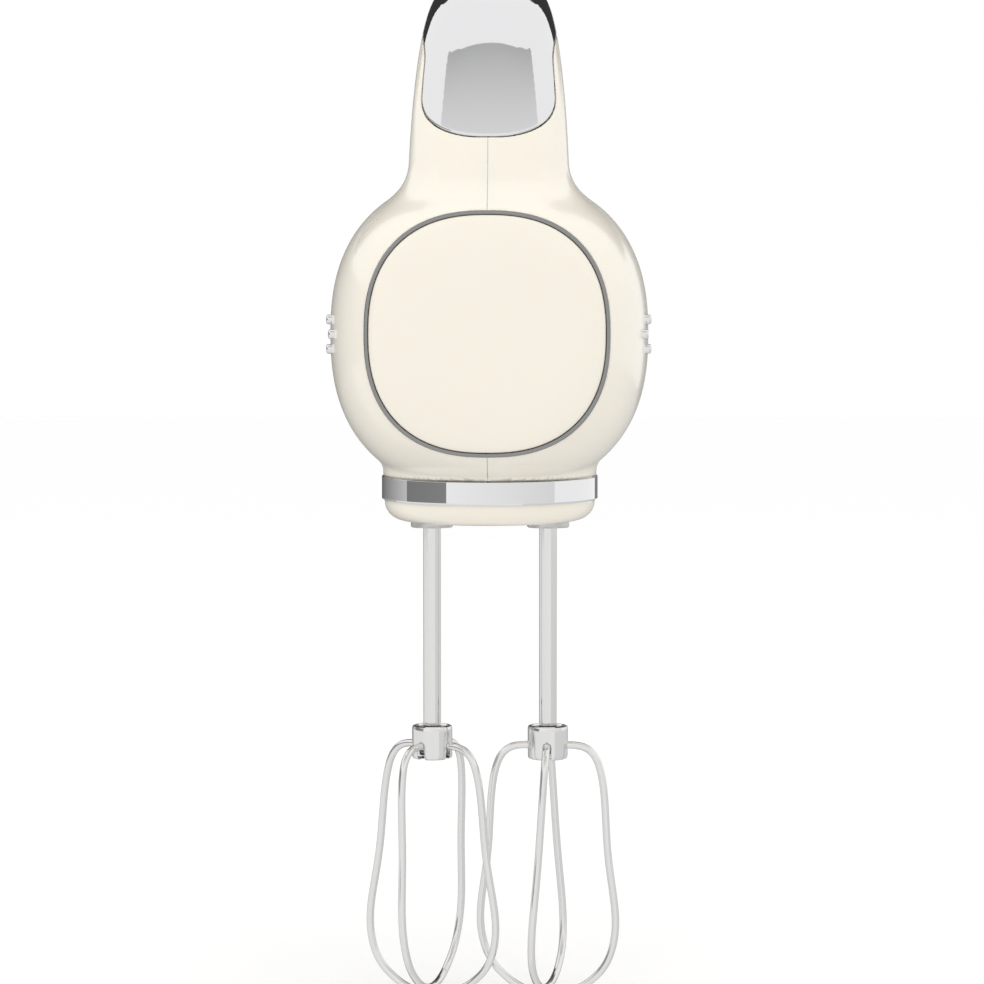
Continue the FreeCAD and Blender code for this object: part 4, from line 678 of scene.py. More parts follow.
# %% [markdown]
# ## Rounded lips
#
# No moulded or pressed edge is a knife edge. Near a cut, a row of narrow bands is added, and
# the points in them sink below the skin as a quarter circle does: at distance g from the
# edge, a lip of radius r is lower by r - sqrt(r^2 - (r - g)^2). That thin roll is what draws
# the fine bright or dark line along every joint.

# %% Lips, halves and mirrors


def lipped(points, tris, side, gap, radius):
    """Rolls the skin under along the edge side = 0, on the side where side > 0."""
    for share in (1.0, 0.5, 0.18):
        points, tris, _ = scored(points, tris, lambda p, s=share: side(p) - s * radius, gap, 0.06)
    edge = np.clip(side(points), 0, radius)
    close = edge < radius
    normal = slope(gap, points[close])
    normal /= np.linalg.norm(normal, axis=1, keepdims=True)
    along = slope(side, points[close], 0.01)
    along -= (along * normal).sum(1, keepdims=True) * normal
    true = edge[close] / np.linalg.norm(along, axis=1).clip(0.3, 1.5)
    true = np.minimum(true, radius)
    drop = radius - np.sqrt(np.maximum(radius**2 - (radius - true) ** 2, 0))
    points = points.copy()
    points[close] -= drop[:, None] * normal
    return points, tris


def mirrored(points, tris):
    """The piece on the other side of X = 0."""
    return points * (-1, 1, 1), tris[:, ::-1]


def whole(points, tris):
    """A half piece and its mirror image, sewn together along X = 0."""
    both = np.concatenate([points, points * (-1, 1, 1)])
    faces = np.concatenate([tris, tris[:, ::-1] + len(points)])
    _, first, number = np.unique(np.round(both, 4), axis=0, return_index=True, return_inverse=True)
    number = number.ravel()[faces]
    shrunk = (number == np.roll(number, -1, axis=1)).any(axis=1)
    return both[first], number[~shrunk]


def cutaway(side, shrink=0.0):
    """The opposite of a side function, with a gap added."""
    return lambda p: -side(p) - shrink


SEAM = 0.012
casing = trimmed(points, tris, cutaway(rim_side, 0.12), body_gap, 0.08)
casing = trimmed(*casing, cutaway(vent_side), body_gap, 0.08)
casing = trimmed(*casing, cutaway(gland_side), body_gap, 0.08)
casing = trimmed(*casing, lambda p: p[:, 0] - SEAM, body_gap)
casing = lipped(*casing, lambda p: p[:, 0] - SEAM, body_gap, 0.12)
casing = lipped(*casing, cutaway(rim_side, 0.12), body_gap, 0.25)
make_piece("right_casing", *casing, "housing", "cream_shell", wall=2.2, old=["right_shell"])
left = trimmed(*casing, cutaway(plug_side), body_gap, 0.08)
make_piece("left_casing", *mirrored(*left), "housing", "cream_shell", wall=2.2, old=["left_shell"])
plugs = trimmed(points, tris, lambda p: plug_side(p) - 0.08, body_gap, 0.05)
make_piece("plugs", *mirrored(*plugs), "housing", "cream_shell", wall=1.6, old=["screw_plugs"])
print("casing half:", len(casing[0]), "points,", len(casing[1]), "triangles")

# %% [markdown]
# ## Cover, deck and lens
#
# The cover is the skin inside the rim, less the outline of the deck. The deck is the skin
# inside that outline, raised by a fraction of a millimetre, and the lens is raised a little
# more. All three are cut on the centre plane, mirrored and sewn.

# %% Cover, deck and lens
half = trimmed(points, tris, lambda p: p[:, 0], body_gap)
cover = trimmed(*half, rim_side, body_gap, 0.08)
cover = trimmed(*cover, cutaway(deck_side, 0.1), body_gap, 0.08)
cover = lipped(*cover, rim_side, body_gap, 0.9)
cover = lipped(*cover, cutaway(deck_side, 0.1), body_gap, 0.3)
make_piece("cover", *whole(*cover), "housing", "bright_trim", wall=1.3, old=["handle_cover"])


def raised(points, gap, height):
    """Points moved outward along the skin's own normals."""
    normal = slope(gap, points)
    return points + height * normal / np.linalg.norm(normal, axis=1, keepdims=True)


holes = [
    lambda p: EJECT_R + 0.3 - np.hypot(p[:, 0], p[:, 1] - EJECT_Y),
    lambda p: TURBO_R + 0.3 - np.hypot(p[:, 0], p[:, 1] - TURBO_Y),
    lambda p: capsule(p[:, 1] - SLOT_Y, p[:, 0], SLOT_LONG, SLOT_WIDE),
    lambda p: lens_side(p) + 0.1,
]
deck = trimmed(*half, deck_side, body_gap, 0.08)
deck = refined(*deck, lambda p: np.any([np.abs(h(p)) < 1.2 for h in holes], axis=0), body_gap)
for hole in holes:
    deck = trimmed(*deck, cutaway(hole), body_gap, 0.08)
deck = lipped(*deck, deck_side, body_gap, 0.4)
for hole in holes:
    deck = lipped(*deck, cutaway(hole), body_gap, 0.25)
deck = (raised(deck[0], body_gap, 0.28), deck[1])
make_piece("deck", *whole(*deck), "housing", "deck_black", wall=1.2, old=["control_deck"])

lens = trimmed(*half, lens_side, body_gap, 0.08)
lens = lipped(*lens, lens_side, body_gap, 0.5)
lens = (raised(lens[0], body_gap, 0.55), lens[1])
make_piece("lens", *whole(*lens), "housing", "lens_smoke", wall=1.0, old=["display_lens"])

# %% [markdown]
# ## Nose and band
#
# These pieces are rings and domes on the same outlines. A ring is a small profile carried
# round a superellipse: the profile's first number says how far it stands outside the
# outline, and its second is the place along the axis.

# %% Nose ring, nose cap and band


def superellipse(half_a, half_b, power, count=192):
    """(a, b) round the curve, with points closer together where it turns."""
    t = np.linspace(0, 2 * np.pi, count, endpoint=False)
    t = t - 0.12 * np.sin(4 * t)
    c, s = np.cos(t), np.sin(t)
    a = half_a * np.sign(c) * np.abs(c) ** (2 / power)
    b = half_b * np.sign(s) * np.abs(s) ** (2 / power)
    return a, b


def ring_round(profile, half_a, half_b, power, place, count=192, closed=True):
    """A profile of (outset, height) carried round a superellipse.

    place turns (a, b, height) into x, y, z."""
    rows = []
    for outset, height in profile:
        a, b = superellipse(half_a + outset, half_b + outset, power, count)
        rows.append(place(a, b, np.full(count, float(height))))
    return np.concatenate(rows), lattice(len(rows), count, close_rows=closed, close_columns=True)


def to_front(a, b, h):
    """Across, up, and forward of the nose's flat seat."""
    return np.stack([a, NOSE_Y - h, BARREL_Z + b], axis=1)


NOSE_HALF = float(barrel_section(np.array(NOSE_Y))[0])
RING_WIDE, RING_DEEP, CAP_GAP, CAP_STEP, CAP_RISE = 1.1, 1.2, 0.15, 0.9, 3.5
ring_profile = [(-RING_WIDE, 0), (-RING_WIDE, RING_DEEP), (0.0, RING_DEEP), (0.0, 0)]
ring_profile = rounded(ring_profile, 0.45, 5)
ring = ring_round(ring_profile, NOSE_HALF, NOSE_HALF, BARREL_POWER, to_front)
make_piece("ring", ring[0], ring[1][:, ::-1], "housing", "nose_trim", old=["nose_ring"])

cap_half = NOSE_HALF - RING_WIDE - CAP_GAP
steps = np.linspace(0, np.pi / 2, 26)[1:]
inset = cap_half * (1 - np.cos(steps))
dome = [(0, -1.5), (0, 0.2), (0, CAP_STEP)]
dome += [(-i, CAP_STEP + CAP_RISE * np.sin(t) ** 0.85) for i, t in zip(inset, steps)]
cap_points, cap_faces = ring_round(dome[:-1], cap_half, cap_half, BARREL_POWER, to_front, closed=False)
tip = len(cap_points)
cap_points = np.concatenate([cap_points, [[0, NOSE_Y - CAP_STEP - CAP_RISE, BARREL_Z]]])
tip_fan = fan(tip, np.arange(tip - 192, tip))
make_piece("cap", cap_points, [cap_faces, tip_fan], "housing", "cream_shell", wall=1.8, old=["nose_cap"])


def oval(grow, count=240):
    """The foot's oval in plan, moved outward by grow."""
    a, b = superellipse(1, 1, FOOT_POWER, count)
    reach = np.where(b > 0, FOOT_REAR, FOOT_FRONT) + grow
    return a * (FOOT_HALF + grow), FULLEST_Y + b * reach


def oval_ring(profile, closed=True, count=240):
    """A profile of (outset, height) carried round the foot's oval."""
    rows = []
    for outset, z in profile:
        x, y = oval(outset, count)
        rows.append(np.stack([x, y, np.full(count, float(z))], axis=1))
    return np.concatenate(rows), lattice(len(rows), count, close_rows=closed, close_columns=True)


def evenly(profile, longest):
    """A closed profile with its long edges split, so that a flat face is shaded flat to its ends."""
    made = []
    for (r0, z0), (r1, z1) in zip(profile, np.roll(profile, -1, axis=0)):
        count = max(math.ceil(math.hypot(r1 - r0, z1 - z0) / longest), 1)
        made += [(r0 + (r1 - r0) * k / count, z0 + (z1 - z0) * k / count) for k in range(count)]
    return made


BAND_PROUD, BAND_GAP = 0.4, 0.4  # stands out from the skirt; dark gap below the skirt
band_top = BAND_HIGH - BAND_GAP
band_profile = [(-1.0, BAND_LOW), (BAND_PROUD, BAND_LOW), (BAND_PROUD, band_top)]
band_profile += [(-0.4, band_top), (-0.5, BAND_HIGH), (-1.0, BAND_HIGH)]
band_profile = evenly(rounded(band_profile, 0.2, 5), 0.35)
make_piece("band", *oval_ring(band_profile), "housing", "bright_trim", old=["base_band"])
print("nose half:", round(NOSE_HALF, 2))

# %% [markdown]
# ## Trim on the casing
#
# A *pillow* is a raised patch with round ends, such as a stripe or a knob. Its outline is
# drawn again and again, each time a little further in and a little higher, until it closes
# on its own middle line. The side stripes are pillows laid on the barrel: each point's
# distance from the centre plane comes from the barrel's own section.

# %% Stripes, heel pad and cord gland


def pillow(half_long, half_wide, profile, count=96):
    """Rows of (long, wide, height): the outline moved inward by each inset of the profile."""
    t = np.linspace(0, 2 * np.pi, count, endpoint=False) + np.pi / count
    straight = half_long - half_wide
    rows = []
    for inset, height in profile:
        radius = max(half_wide - inset, 0.0)
        a = np.sign(np.cos(t)) * straight + radius * np.cos(t)
        rows.append(np.stack([a, radius * np.sin(t), np.full(count, float(height))], axis=1))
    return np.concatenate(rows), lattice(len(rows), count, close_columns=True)


def soft_edge(thick, radius, half_wide, sunk=0.5, steps=6):
    """A pillow's profile: up the side, round the edge as a quarter circle, and flat to the middle."""
    t = np.linspace(0, np.pi / 2, steps)
    edge = [(radius * (1 - np.cos(a)), thick - radius * (1 - np.sin(a))) for a in t]
    flat = [(radius + (half_wide - radius) * k, thick) for k in (0.35, 0.7, 1.0)]
    return [(half_wide, -sunk), (0, -sunk)] + edge + flat


def barrel_side(y, z):
    """Half width of the barrel at a station and a height."""
    wide, high, middle = barrel_section(y)
    return wide * (1 - np.abs((z - middle) / high) ** BARREL_POWER) ** (1 / BARREL_POWER)


STRIPE_Y, STRIPE_Z, STRIPE_PITCH, STRIPE_HALF, STRIPE_PROUD = -6.0, 52.0, 4.05, 1.3, 1.5
stripes = []
for row, half_long in ((-1, 21.06), (0, 27.0), (1, 21.06)):
    flat, faces = pillow(half_long, STRIPE_HALF, soft_edge(STRIPE_PROUD, 0.6, STRIPE_HALF))
    y, z = STRIPE_Y + flat[:, 0], STRIPE_Z + row * STRIPE_PITCH + flat[:, 1]
    right = np.stack([barrel_side(y, z) + flat[:, 2], y, z], axis=1)
    stripes += [(right, faces), (right * (-1, 1, 1), faces[:, ::-1])]
make_piece("stripes", *merged(stripes), "housing", "bright_trim", old=["side_stripes"])

heel_wide, heel_high, heel_z = (float(v) for v in barrel_section(np.array(HEEL_Y)))
HEEL_INSET, heel_rows = 1.5, []
grooves = [(0.0, 0.0), (1.0, 0.0), (1.0, 2.1), (0.985, 2.7), (0.95, 3.0), (0.86, 3.0), (0.845, 2.3)]
grooves += [(0.79, 2.3), (0.775, 3.0), (0.62, 3.0), (0.605, 2.3), (0.55, 2.3), (0.535, 3.0), (0.0, 3.0)]
for share, height in grooves:
    half_a, half_b = ((half - HEEL_INSET) * share + 1e-5 for half in (heel_wide, heel_high))
    a, b = superellipse(half_a, half_b, BARREL_POWER)
    heel_rows.append(np.stack([a, np.full(len(a), HEEL_Y + height), heel_z + b], axis=1))
heel_faces = lattice(len(heel_rows), len(heel_rows[0]), close_columns=True)
heel_pad = np.concatenate(heel_rows)
make_piece("heel_pad", heel_pad, heel_faces, "housing", "black_rubber", old=["heel_rest"])

(_, gland_from, _), (_, gland_to, _) = (np.array(c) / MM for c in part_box("cord_gland"))
gland_profile = [(3.3, gland_from), (5.2, gland_from), (5.2, gland_to - 2.6), (6.5, gland_to - 2.6)]
gland_profile += [(6.5, gland_to - 0.7), (5.9, gland_to), (4.4, gland_to), (3.3, gland_to - 0.9)]
gland_profile = rounded(gland_profile + gland_profile[:1], 0.4, 3)[:-1]
gland = turned(gland_profile, 72, (0, 0, GLAND_Z), "y", closed=True)
make_piece("gland", *gland, "housing", "black_rubber", old=["cord_gland"])

# %% [markdown]
# ## Controls on the handle
#
# The eject button, the speed slider and the turbo button are separate moving pieces. Each
# goes down into the handle as far as its solid in the frame does, so that nothing is seen
# to be hollow when it is pressed. The caps are lathe forms with a shallow dish for the
# finger; the slider's knob is a pillow whose top is crossed by ridges.

# %% Buttons and slider


def ends(node):
    """Lowest and highest point of a node, in mm."""
    return float(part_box(node)[0][2]) / MM, float(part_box(node)[1][2]) / MM


low, top = ends("eject_button")
profile = [(0, low), (3.0, low), (3.0, top - 12), (EJECT_R, top - 12), (EJECT_R, top - 1.3)]
profile += [(EJECT_R - 0.15, top - 0.6), (EJECT_R - 0.6, top - 0.15), (EJECT_R - 1.3, top)]
profile += [(3.6, top - 0.1), (2.4, top - 0.4), (1.2, top - 0.55), (0, top - 0.6)]
button = turned(profile, 72, (0, EJECT_Y, 0))
make_piece("eject_cap", *button, "eject", "button_chrome", old=["eject_button"])

low, top = ends("turbo_button")
flange = TURBO_R + 0.9
profile = [(0, low), (2.0, low), (2.0, top - 8.2), (flange, top - 8.2), (flange, top - 6.9)]
profile += [(TURBO_R, top - 6.9), (TURBO_R, top - 0.8)]
profile += [(TURBO_R - 0.25, top - 0.25), (TURBO_R - 0.8, top)]
profile += [(3.9, top), (3.6, top - 0.3), (3.2, top - 0.35), (2.9, top - 0.1), (1.4, top), (0, top)]
button = turned(profile, 72, (0, TURBO_Y, 0))
make_piece("turbo_cap", *button, "turbo", "button_cream", old=["turbo_button"])

low, top = ends("speed_slider")
knob_low = top - 2.9
slider_y = float(np.mean([c[1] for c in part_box("speed_slider")])) / MM
knob_profile = [(3.6, 0), (0.3, 0), (0, 0.3), (0, 2.0), (0.25, 2.6), (0.9, 2.9)]
knob_profile += [(0.9 + 2.7 * k, 2.9) for k in (0.25, 0.5, 0.75, 1.0)]
knob, knob_faces = pillow(6.4, 3.6, knob_profile, 192)
ridge = np.clip(1 - np.abs(knob[:, 1]) / 3.0, 0, 1) ** 0.5 * (knob[:, 2] > 2.5)
knob[:, 2] -= 0.3 * ridge * (1 - np.cos(knob[:, 0] * 2 * np.pi / 1.6)) / 2
knob = np.stack([knob[:, 0], slider_y - knob[:, 1], knob_low + knob[:, 2]], axis=1)
stem = [(0, low), (1.2, low), (1.2, knob_low + 0.3), (0, knob_low + 0.3)]
stem, stem_faces = turned(stem, 24, (0, slider_y, 0))
parts = merged([(knob, knob_faces), (stem, stem_faces)])
make_piece("slider_cap", *parts, "speed", "button_chrome", old=["speed_slider"])
print("slider at", round(slider_y, 1), "top", round(top, 1))

# %% [markdown]
# ## Beaters
#
# Each beater is a turned shaft, a cup-shaped collar and two wire loops. A wire's centre line
# is a *natural cubic spline*: through the given points, with a bend that changes steadily
# and is nil at both ends. The points are shares of the loop's largest radius and of its
# height, and the loop turns a little about the axis as it goes down.
#
# The wire's surface is a circle carried along that line: point = line + r (cos t A + sin t B),
# where A lies across the loop's own plane, and B = T x A.

# %% Beaters
AXLE_X, SHAFT_R, WIRE_R, LOOP_R = 16.5, 2.5, 1.05, 19.9
COLLAR_TOP, COLLAR_FOOT, COLLAR_R, COLLAR_WALL, CUP = -59.7, -68.5, 5.4, 0.8, 3.0
LOOP_FROM, LOOP_TO, LOOP_STEP, LOOP_TWIST = -65.1, -137.0, 1.15, 14.0
LOOP_FORM = np.array(
    [
        (0.150, 0.000),
        (0.400, 0.000),
        (0.543, 0.010),
        (0.672, 0.042),
        (0.752, 0.095),
        (0.812, 0.195),
        (0.868, 0.417),
        (0.943, 0.567),
        (0.995, 0.705),
        (0.957, 0.795),
        (0.845, 0.871),
        (0.632, 0.935),
        (0.335, 0.983),
        (0.000, 1.000),
    ]
)


def spline(points, count):
    """Natural cubic spline through the points, and its direction, at count even places."""
    points = np.asarray(points, dtype=float)
    gap = np.linalg.norm(np.diff(points, axis=0), axis=1)
    knot = np.concatenate([[0], np.cumsum(gap)])
    n = len(points)
    matrix, right = np.eye(n), np.zeros((n, points.shape[1]))
    i = np.arange(1, n - 1)
    matrix[i, i - 1], matrix[i, i], matrix[i, i + 1] = gap[:-1], 2 * (gap[:-1] + gap[1:]), gap[1:]
    rise = np.diff(points, axis=0) / gap[:, None]
    right[1:-1] = 6 * (rise[1:] - rise[:-1])
    bend = np.linalg.solve(matrix, right)
    t = np.linspace(0, knot[-1], count)
    k = np.clip(np.searchsorted(knot, t, side="right") - 1, 0, n - 2)
    g, a, b = gap[k, None], (knot[k + 1] - t)[:, None], (t - knot[k])[:, None]
    p0, p1, m0, m1 = points[k], points[k + 1], bend[k], bend[k + 1]
    place = (m0 * a**3 + m1 * b**3) / (6 * g) + (p0 / g - m0 * g / 6) * a + (p1 / g - m1 * g / 6) * b
    way = (m1 * b**2 - m0 * a**2) / (2 * g) + (p1 - p0) / g - (m1 - m0) * g / 6
    return place, way / np.linalg.norm(way, axis=1, keepdims=True)


def wire(phase, twist, bottom):
    """One closed tube: out of the collar, down, under the tip and up the other side."""
    stations, sides = 321, 24
    across, down = LOOP_FORM[:, 0], LOOP_FORM[:, 1]
    turn = np.radians(phase + twist * down)
    tall = bottom - LOOP_FROM
    out = LOOP_R * across
    half = np.stack([out * np.cos(turn), out * np.sin(turn), LOOP_FROM + tall * down], axis=1)
    other = half[-2::-1] * (-1, -1, 1)
    place, way = spline(np.concatenate([half, other]), stations)
    turn = np.radians(phase + twist * (place[:, 2] - LOOP_FROM) / tall)
    flat = np.stack([-np.sin(turn), np.cos(turn), 0 * turn], axis=1)
    flat -= (flat * way).sum(1, keepdims=True) * way
    flat /= np.linalg.norm(flat, axis=1, keepdims=True)
    side = np.cross(way, flat)
    t = np.linspace(0, 2 * np.pi, sides, endpoint=False)
    ring = np.cos(t)[None, :, None] * flat[:, None] + np.sin(t)[None, :, None] * side[:, None]
    points = (place[:, None] + WIRE_R * ring).reshape(-1, 3)
    count = len(points)
    points = np.concatenate([points, place[:1], place[-1:]])
    start, end = fan(count, np.arange(sides)[::-1]), fan(count + 1, np.arange(count - sides, count))
    return points, [lattice(stations, sides, close_columns=True), start, end]


def box_faces(low, high, bevel):
    """A block with softened edges: a superellipse section with a high power, carried up its height."""
    low, high = np.array(low, float), np.array(high, float)
    middle, half = (low + high) / 2, (high - low) / 2
    rows = []
    foot = [(9, low[2]), (bevel, low[2]), (0, low[2] + bevel)]
    head = [(0, high[2] - bevel), (bevel, high[2]), (9, high[2])]
    for inset, z in foot + head:
        a, b = superellipse(max(half[0] - inset, 1e-4), max(half[1] - inset, 1e-4), 14.0, 48)
        rows.append(np.stack([middle[0] + a, middle[1] + b, np.full(48, z)], axis=1))
    return np.concatenate(rows), lattice(len(rows), 48, close_columns=True)


shaft_profile = [(0, COLLAR_FOOT + 1), (SHAFT_R, COLLAR_FOOT + 1), (SHAFT_R, 38), (SHAFT_R - 0.5, 38.6)]
shaft_profile += [(SHAFT_R - 0.5, 40), (SHAFT_R, 40.6), (SHAFT_R, 43), (SHAFT_R - 0.8, 44), (0, 44)]
RIM_R, CUP_R = COLLAR_R - 0.4, COLLAR_R - COLLAR_WALL
collar_profile = [(SHAFT_R + 0.02, COLLAR_TOP - CUP - 0.1), (CUP_R - 0.5, COLLAR_TOP - CUP)]
collar_profile += [(CUP_R, COLLAR_TOP - CUP + 0.6), (CUP_R, COLLAR_TOP - 0.3), (CUP_R + 0.3, COLLAR_TOP)]
collar_profile += [(RIM_R, COLLAR_TOP), (COLLAR_R - 0.1, COLLAR_TOP - 0.12)]
collar_profile += [(COLLAR_R, COLLAR_TOP - 0.45)]
collar_profile += [(COLLAR_R, z) for z in np.linspace(COLLAR_TOP - 1.2, COLLAR_FOOT + 0.9, 12)]
collar_profile += [(COLLAR_R, COLLAR_FOOT + 0.45), (COLLAR_R - 0.12, COLLAR_FOOT + 0.1)]
collar_profile += [(r, COLLAR_FOOT) for r in (RIM_R, 4.2, 3.4, SHAFT_R + 0.02)]


def collar_skin(phase):
    """The collar's outside, with four arches cut up into it from below for the wires."""
    skin, faces = turned(collar_profile, 192)
    faces = np.concatenate([faces[:, [0, 1, 2]], faces[:, [0, 2, 3]]])

    def arch(p):
        turn = np.arctan2(p[:, 1], p[:, 0]) - math.radians(phase)
        turn = (turn + np.pi / 4) % (np.pi / 2) - np.pi / 4
        aside = np.hypot(p[:, 0], p[:, 1]) * np.sin(turn)
        above = np.maximum(p[:, 2] - LOOP_FROM, 0)
        outer = np.hypot(p[:, 0], p[:, 1]) > SHAFT_R + 0.4
        return np.where(outer, np.hypot(aside, above) - WIRE_R - 0.12, 1.0)

    return trimmed(skin, faces, arch, None, 0.05)


for side, way, phase, twist in (("left", -1, -33.0, LOOP_TWIST), ("right", 1, -3.0, -LOOP_TWIST)):
    at = np.array([AXLE_X * way, 0, 0])
    body = f"{side}_beater"
    rod, rod_faces = turned(rounded(shaft_profile, 0.25, 3), 64)
    tang, tang_faces = box_faces((-4.0, -0.7, 5.0), (4.0, 0.7, 12.0), 0.2)
    points, faces = merged([(rod, rod_faces), (tang, tang_faces)])
    make_piece(f"{side}_rod", points + at, faces, body, "beater_steel", old=[f"{side}_beater_shaft"])
    skin, faces = collar_skin(phase)
    collar = [f"{side}_beater_collar"]
    make_piece(f"{side}_collar", skin + at, faces, body, "beater_steel", wall=0.35, old=collar)
    loops = [wire(phase + 90 * i, twist, LOOP_TO + 2 * LOOP_STEP * i) for i in range(2)]
    points, faces = merged(loops)
    make_piece(f"{side}_wires", points + at, faces, body, "beater_steel", old=[f"{side}_beater_loops"])
    print(body, "wires from", points[:, 2].min().round(2), "to", points[:, 2].max().round(2))

# %% [markdown]
# ## Finishes
#
# A finish is one Principled shader. What is the same all over it, such as how metallic it is
# or how thick its clear coat, is set straight on the shader. Colour, roughness and the fine
# relief vary, and come from noise on the object's own coordinates, which are in metres: a
# scale of 1000 gives grains about a millimetre across.
#
# Drawn wire and turned steel have fine rings or lines rather than grains. They come from the
# same noise with one axis stretched, so that each grain becomes a streak.

# %% A finish from two noises


def finish(slot, colour, rough, metal, grain, relief, spread, mottle, stretch=(1, 1, 1), sockets=()):
    """A material for a slot: colour varies by mottle, roughness by spread, height by relief (mm)."""
    made = bpy.data.materials.new(slot)
    made.use_nodes = True
    nodes, links = made.node_tree.nodes, made.node_tree.links
    shader = nodes["Principled BSDF"]
    shader.inputs["Metallic"].default_value = metal
    for name, value in dict(sockets).items():
        shader.inputs[name].default_value = value
    place = nodes.new("ShaderNodeTexCoord")
    scale = nodes.new("ShaderNodeMapping")
    scale.inputs["Scale"].default_value = stretch
    links.new(place.outputs["Object"], scale.inputs["Vector"])
    coarse, fine = nodes.new("ShaderNodeTexNoise"), nodes.new("ShaderNodeTexNoise")
    for noise, size, detail in ((coarse, grain / 12, 3.0), (fine, grain, 5.0)):
        noise.inputs["Scale"].default_value = size
        noise.inputs["Detail"].default_value = detail
        links.new(scale.outputs["Vector"], noise.inputs["Vector"])
    tone = nodes.new("ShaderNodeMix")
    tone.data_type = "RGBA"
    links.new(coarse.outputs["Fac"], tone.inputs["Factor"])
    tone.inputs["A"].default_value = [c * (1 - mottle) for c in colour] + [1]
    tone.inputs["B"].default_value = [min(c * (1 + mottle), 1) for c in colour] + [1]
    links.new(tone.outputs["Result"], shader.inputs["Base Color"])
    gloss = nodes.new("ShaderNodeMapRange")
    links.new(fine.outputs["Fac"], gloss.inputs["Value"])
    gloss.inputs["From Min"].default_value, gloss.inputs["From Max"].default_value = 0.3, 0.7
    gloss.inputs["To Min"].default_value = max(rough - spread, 0.01)
    gloss.inputs["To Max"].default_value = rough + spread
    links.new(gloss.outputs["Result"], shader.inputs["Roughness"])
    bump = nodes.new("ShaderNodeBump")
    bump.inputs["Strength"].default_value = 1.0
    bump.inputs["Distance"].default_value = relief * MM
    links.new(fine.outputs["Fac"], bump.inputs["Height"])
    links.new(bump.outputs["Normal"], shader.inputs["Normal"])
    return made


# %% [markdown]
# ## One finish for each slot
#
# The casing is gloss plastic, coloured right through, with the faint orange peel of a
# moulding. The bright trim is plated: nearly white metal, almost mirror smooth. The nose
# ring is satin. The beaters are polished steel with fine drawing lines along the shafts.
# The parts inside have the plain finishes of their trades: nylon, bronze, laminations and
# enamelled wire.
#
# Each row of the table is a colour, then the roughness, how metallic it is, the grain, the
# relief, the spread of the roughness, the mottle, the stretch, and any other sockets.

# %% Every finish
EVEN = (1, 1, 1)
LOOKS = {
    "cream_shell": ((0.93, 0.875, 0.765), 0.18, 0.0, 650, 0.004, 0.03, 0.008, EVEN,
        {"Coat Weight": 0.2, "Coat Roughness": 0.04, "Specular IOR Level": 0.5,
          "Subsurface Weight": 0.06, "Subsurface Scale": 0.002}),
    "bright_trim": ((0.80, 0.80, 0.81), 0.035, 1.0, 400, 0.0012, 0.015, 0.01),
    "nose_trim": ((0.30, 0.30, 0.30), 0.22, 1.0, 1500, 0.003, 0.06, 0.04),
    "deck_black": ((0.018, 0.018, 0.020), 0.14, 0.0, 900, 0.002, 0.04, 0.15, EVEN,
        {"Coat Weight": 0.3}),
    "lens_smoke": ((0.010, 0.013, 0.018), 0.05, 0.0, 500, 0.0006, 0.02, 0.2, EVEN,
        {"Coat Weight": 1.0}),
    "button_cream": ((0.86, 0.79, 0.66), 0.22, 0.0, 900, 0.003, 0.04, 0.012, EVEN,
        {"Coat Weight": 0.2}),
    "button_chrome": ((0.78, 0.78, 0.79), 0.06, 1.0, 700, 0.001, 0.03, 0.015),
    "beater_steel": ((0.80, 0.797, 0.79), 0.13, 1.0, 2400, 0.002, 0.05, 0.04, (1, 1, 0.06)),
    "black_rubber": ((0.022, 0.022, 0.023), 0.62, 0.0, 1800, 0.03, 0.08, 0.2),
    "grey_nylon": ((0.11, 0.115, 0.13), 0.48, 0.0, 1400, 0.01, 0.08, 0.06),
    "white_acetal": ((0.80, 0.79, 0.74), 0.34, 0.0, 1100, 0.004, 0.06, 0.02, EVEN,
        {"Subsurface Weight": 0.1, "Subsurface Scale": 0.002}),
    "black_plastic": ((0.02, 0.02, 0.021), 0.5, 0.0, 1300, 0.01, 0.1, 0.15),
    "turned_steel": ((0.62, 0.62, 0.61), 0.3, 1.0, 3000, 0.003, 0.1, 0.08, (0.1, 0.1, 1)),
    "zinc_screw": ((0.52, 0.52, 0.48), 0.34, 1.0, 1800, 0.006, 0.1, 0.12),
    "bronze": ((0.42, 0.24, 0.09), 0.38, 1.0, 2600, 0.012, 0.12, 0.2),
    "lamination": ((0.10, 0.10, 0.115), 0.42, 0.8, 2200, 0.02, 0.1, 0.25, (0.05, 1, 0.05)),
    "copper_wire": ((0.55, 0.17, 0.06), 0.25, 0.9, 2400, 0.03, 0.08, 0.18, (1, 0.1, 1),
        {"Coat Weight": 0.5}),
    "commutator_copper": ((0.62, 0.28, 0.13), 0.22, 1.0, 2600, 0.004, 0.08, 0.12, (1, 4, 1)),
    "carbon": ((0.03, 0.03, 0.03), 0.6, 0.0, 2200, 0.02, 0.12, 0.3),
    "board_green": ((0.01, 0.10, 0.035), 0.3, 0.0, 900, 0.01, 0.08, 0.2),
    "component_yellow": ((0.62, 0.40, 0.02), 0.3, 0.0, 900, 0.004, 0.03, 0.06),
    "component_blue": ((0.01, 0.035, 0.22), 0.25, 0.0, 900, 0.004, 0.03, 0.08),
    "heat_sink": ((0.60, 0.60, 0.62), 0.38, 1.0, 2200, 0.008, 0.1, 0.06, (1, 0.1, 1)),
    "spring_steel": ((0.36, 0.36, 0.36), 0.28, 1.0, 2000, 0.003, 0.08, 0.1),
}
FINISHES = {slot: finish(slot, *look) for slot, look in LOOKS.items()}
slot_of_node = {node: m["slot"] for m in frame["record"]["materials"] for node in m.get("nodes", [])}
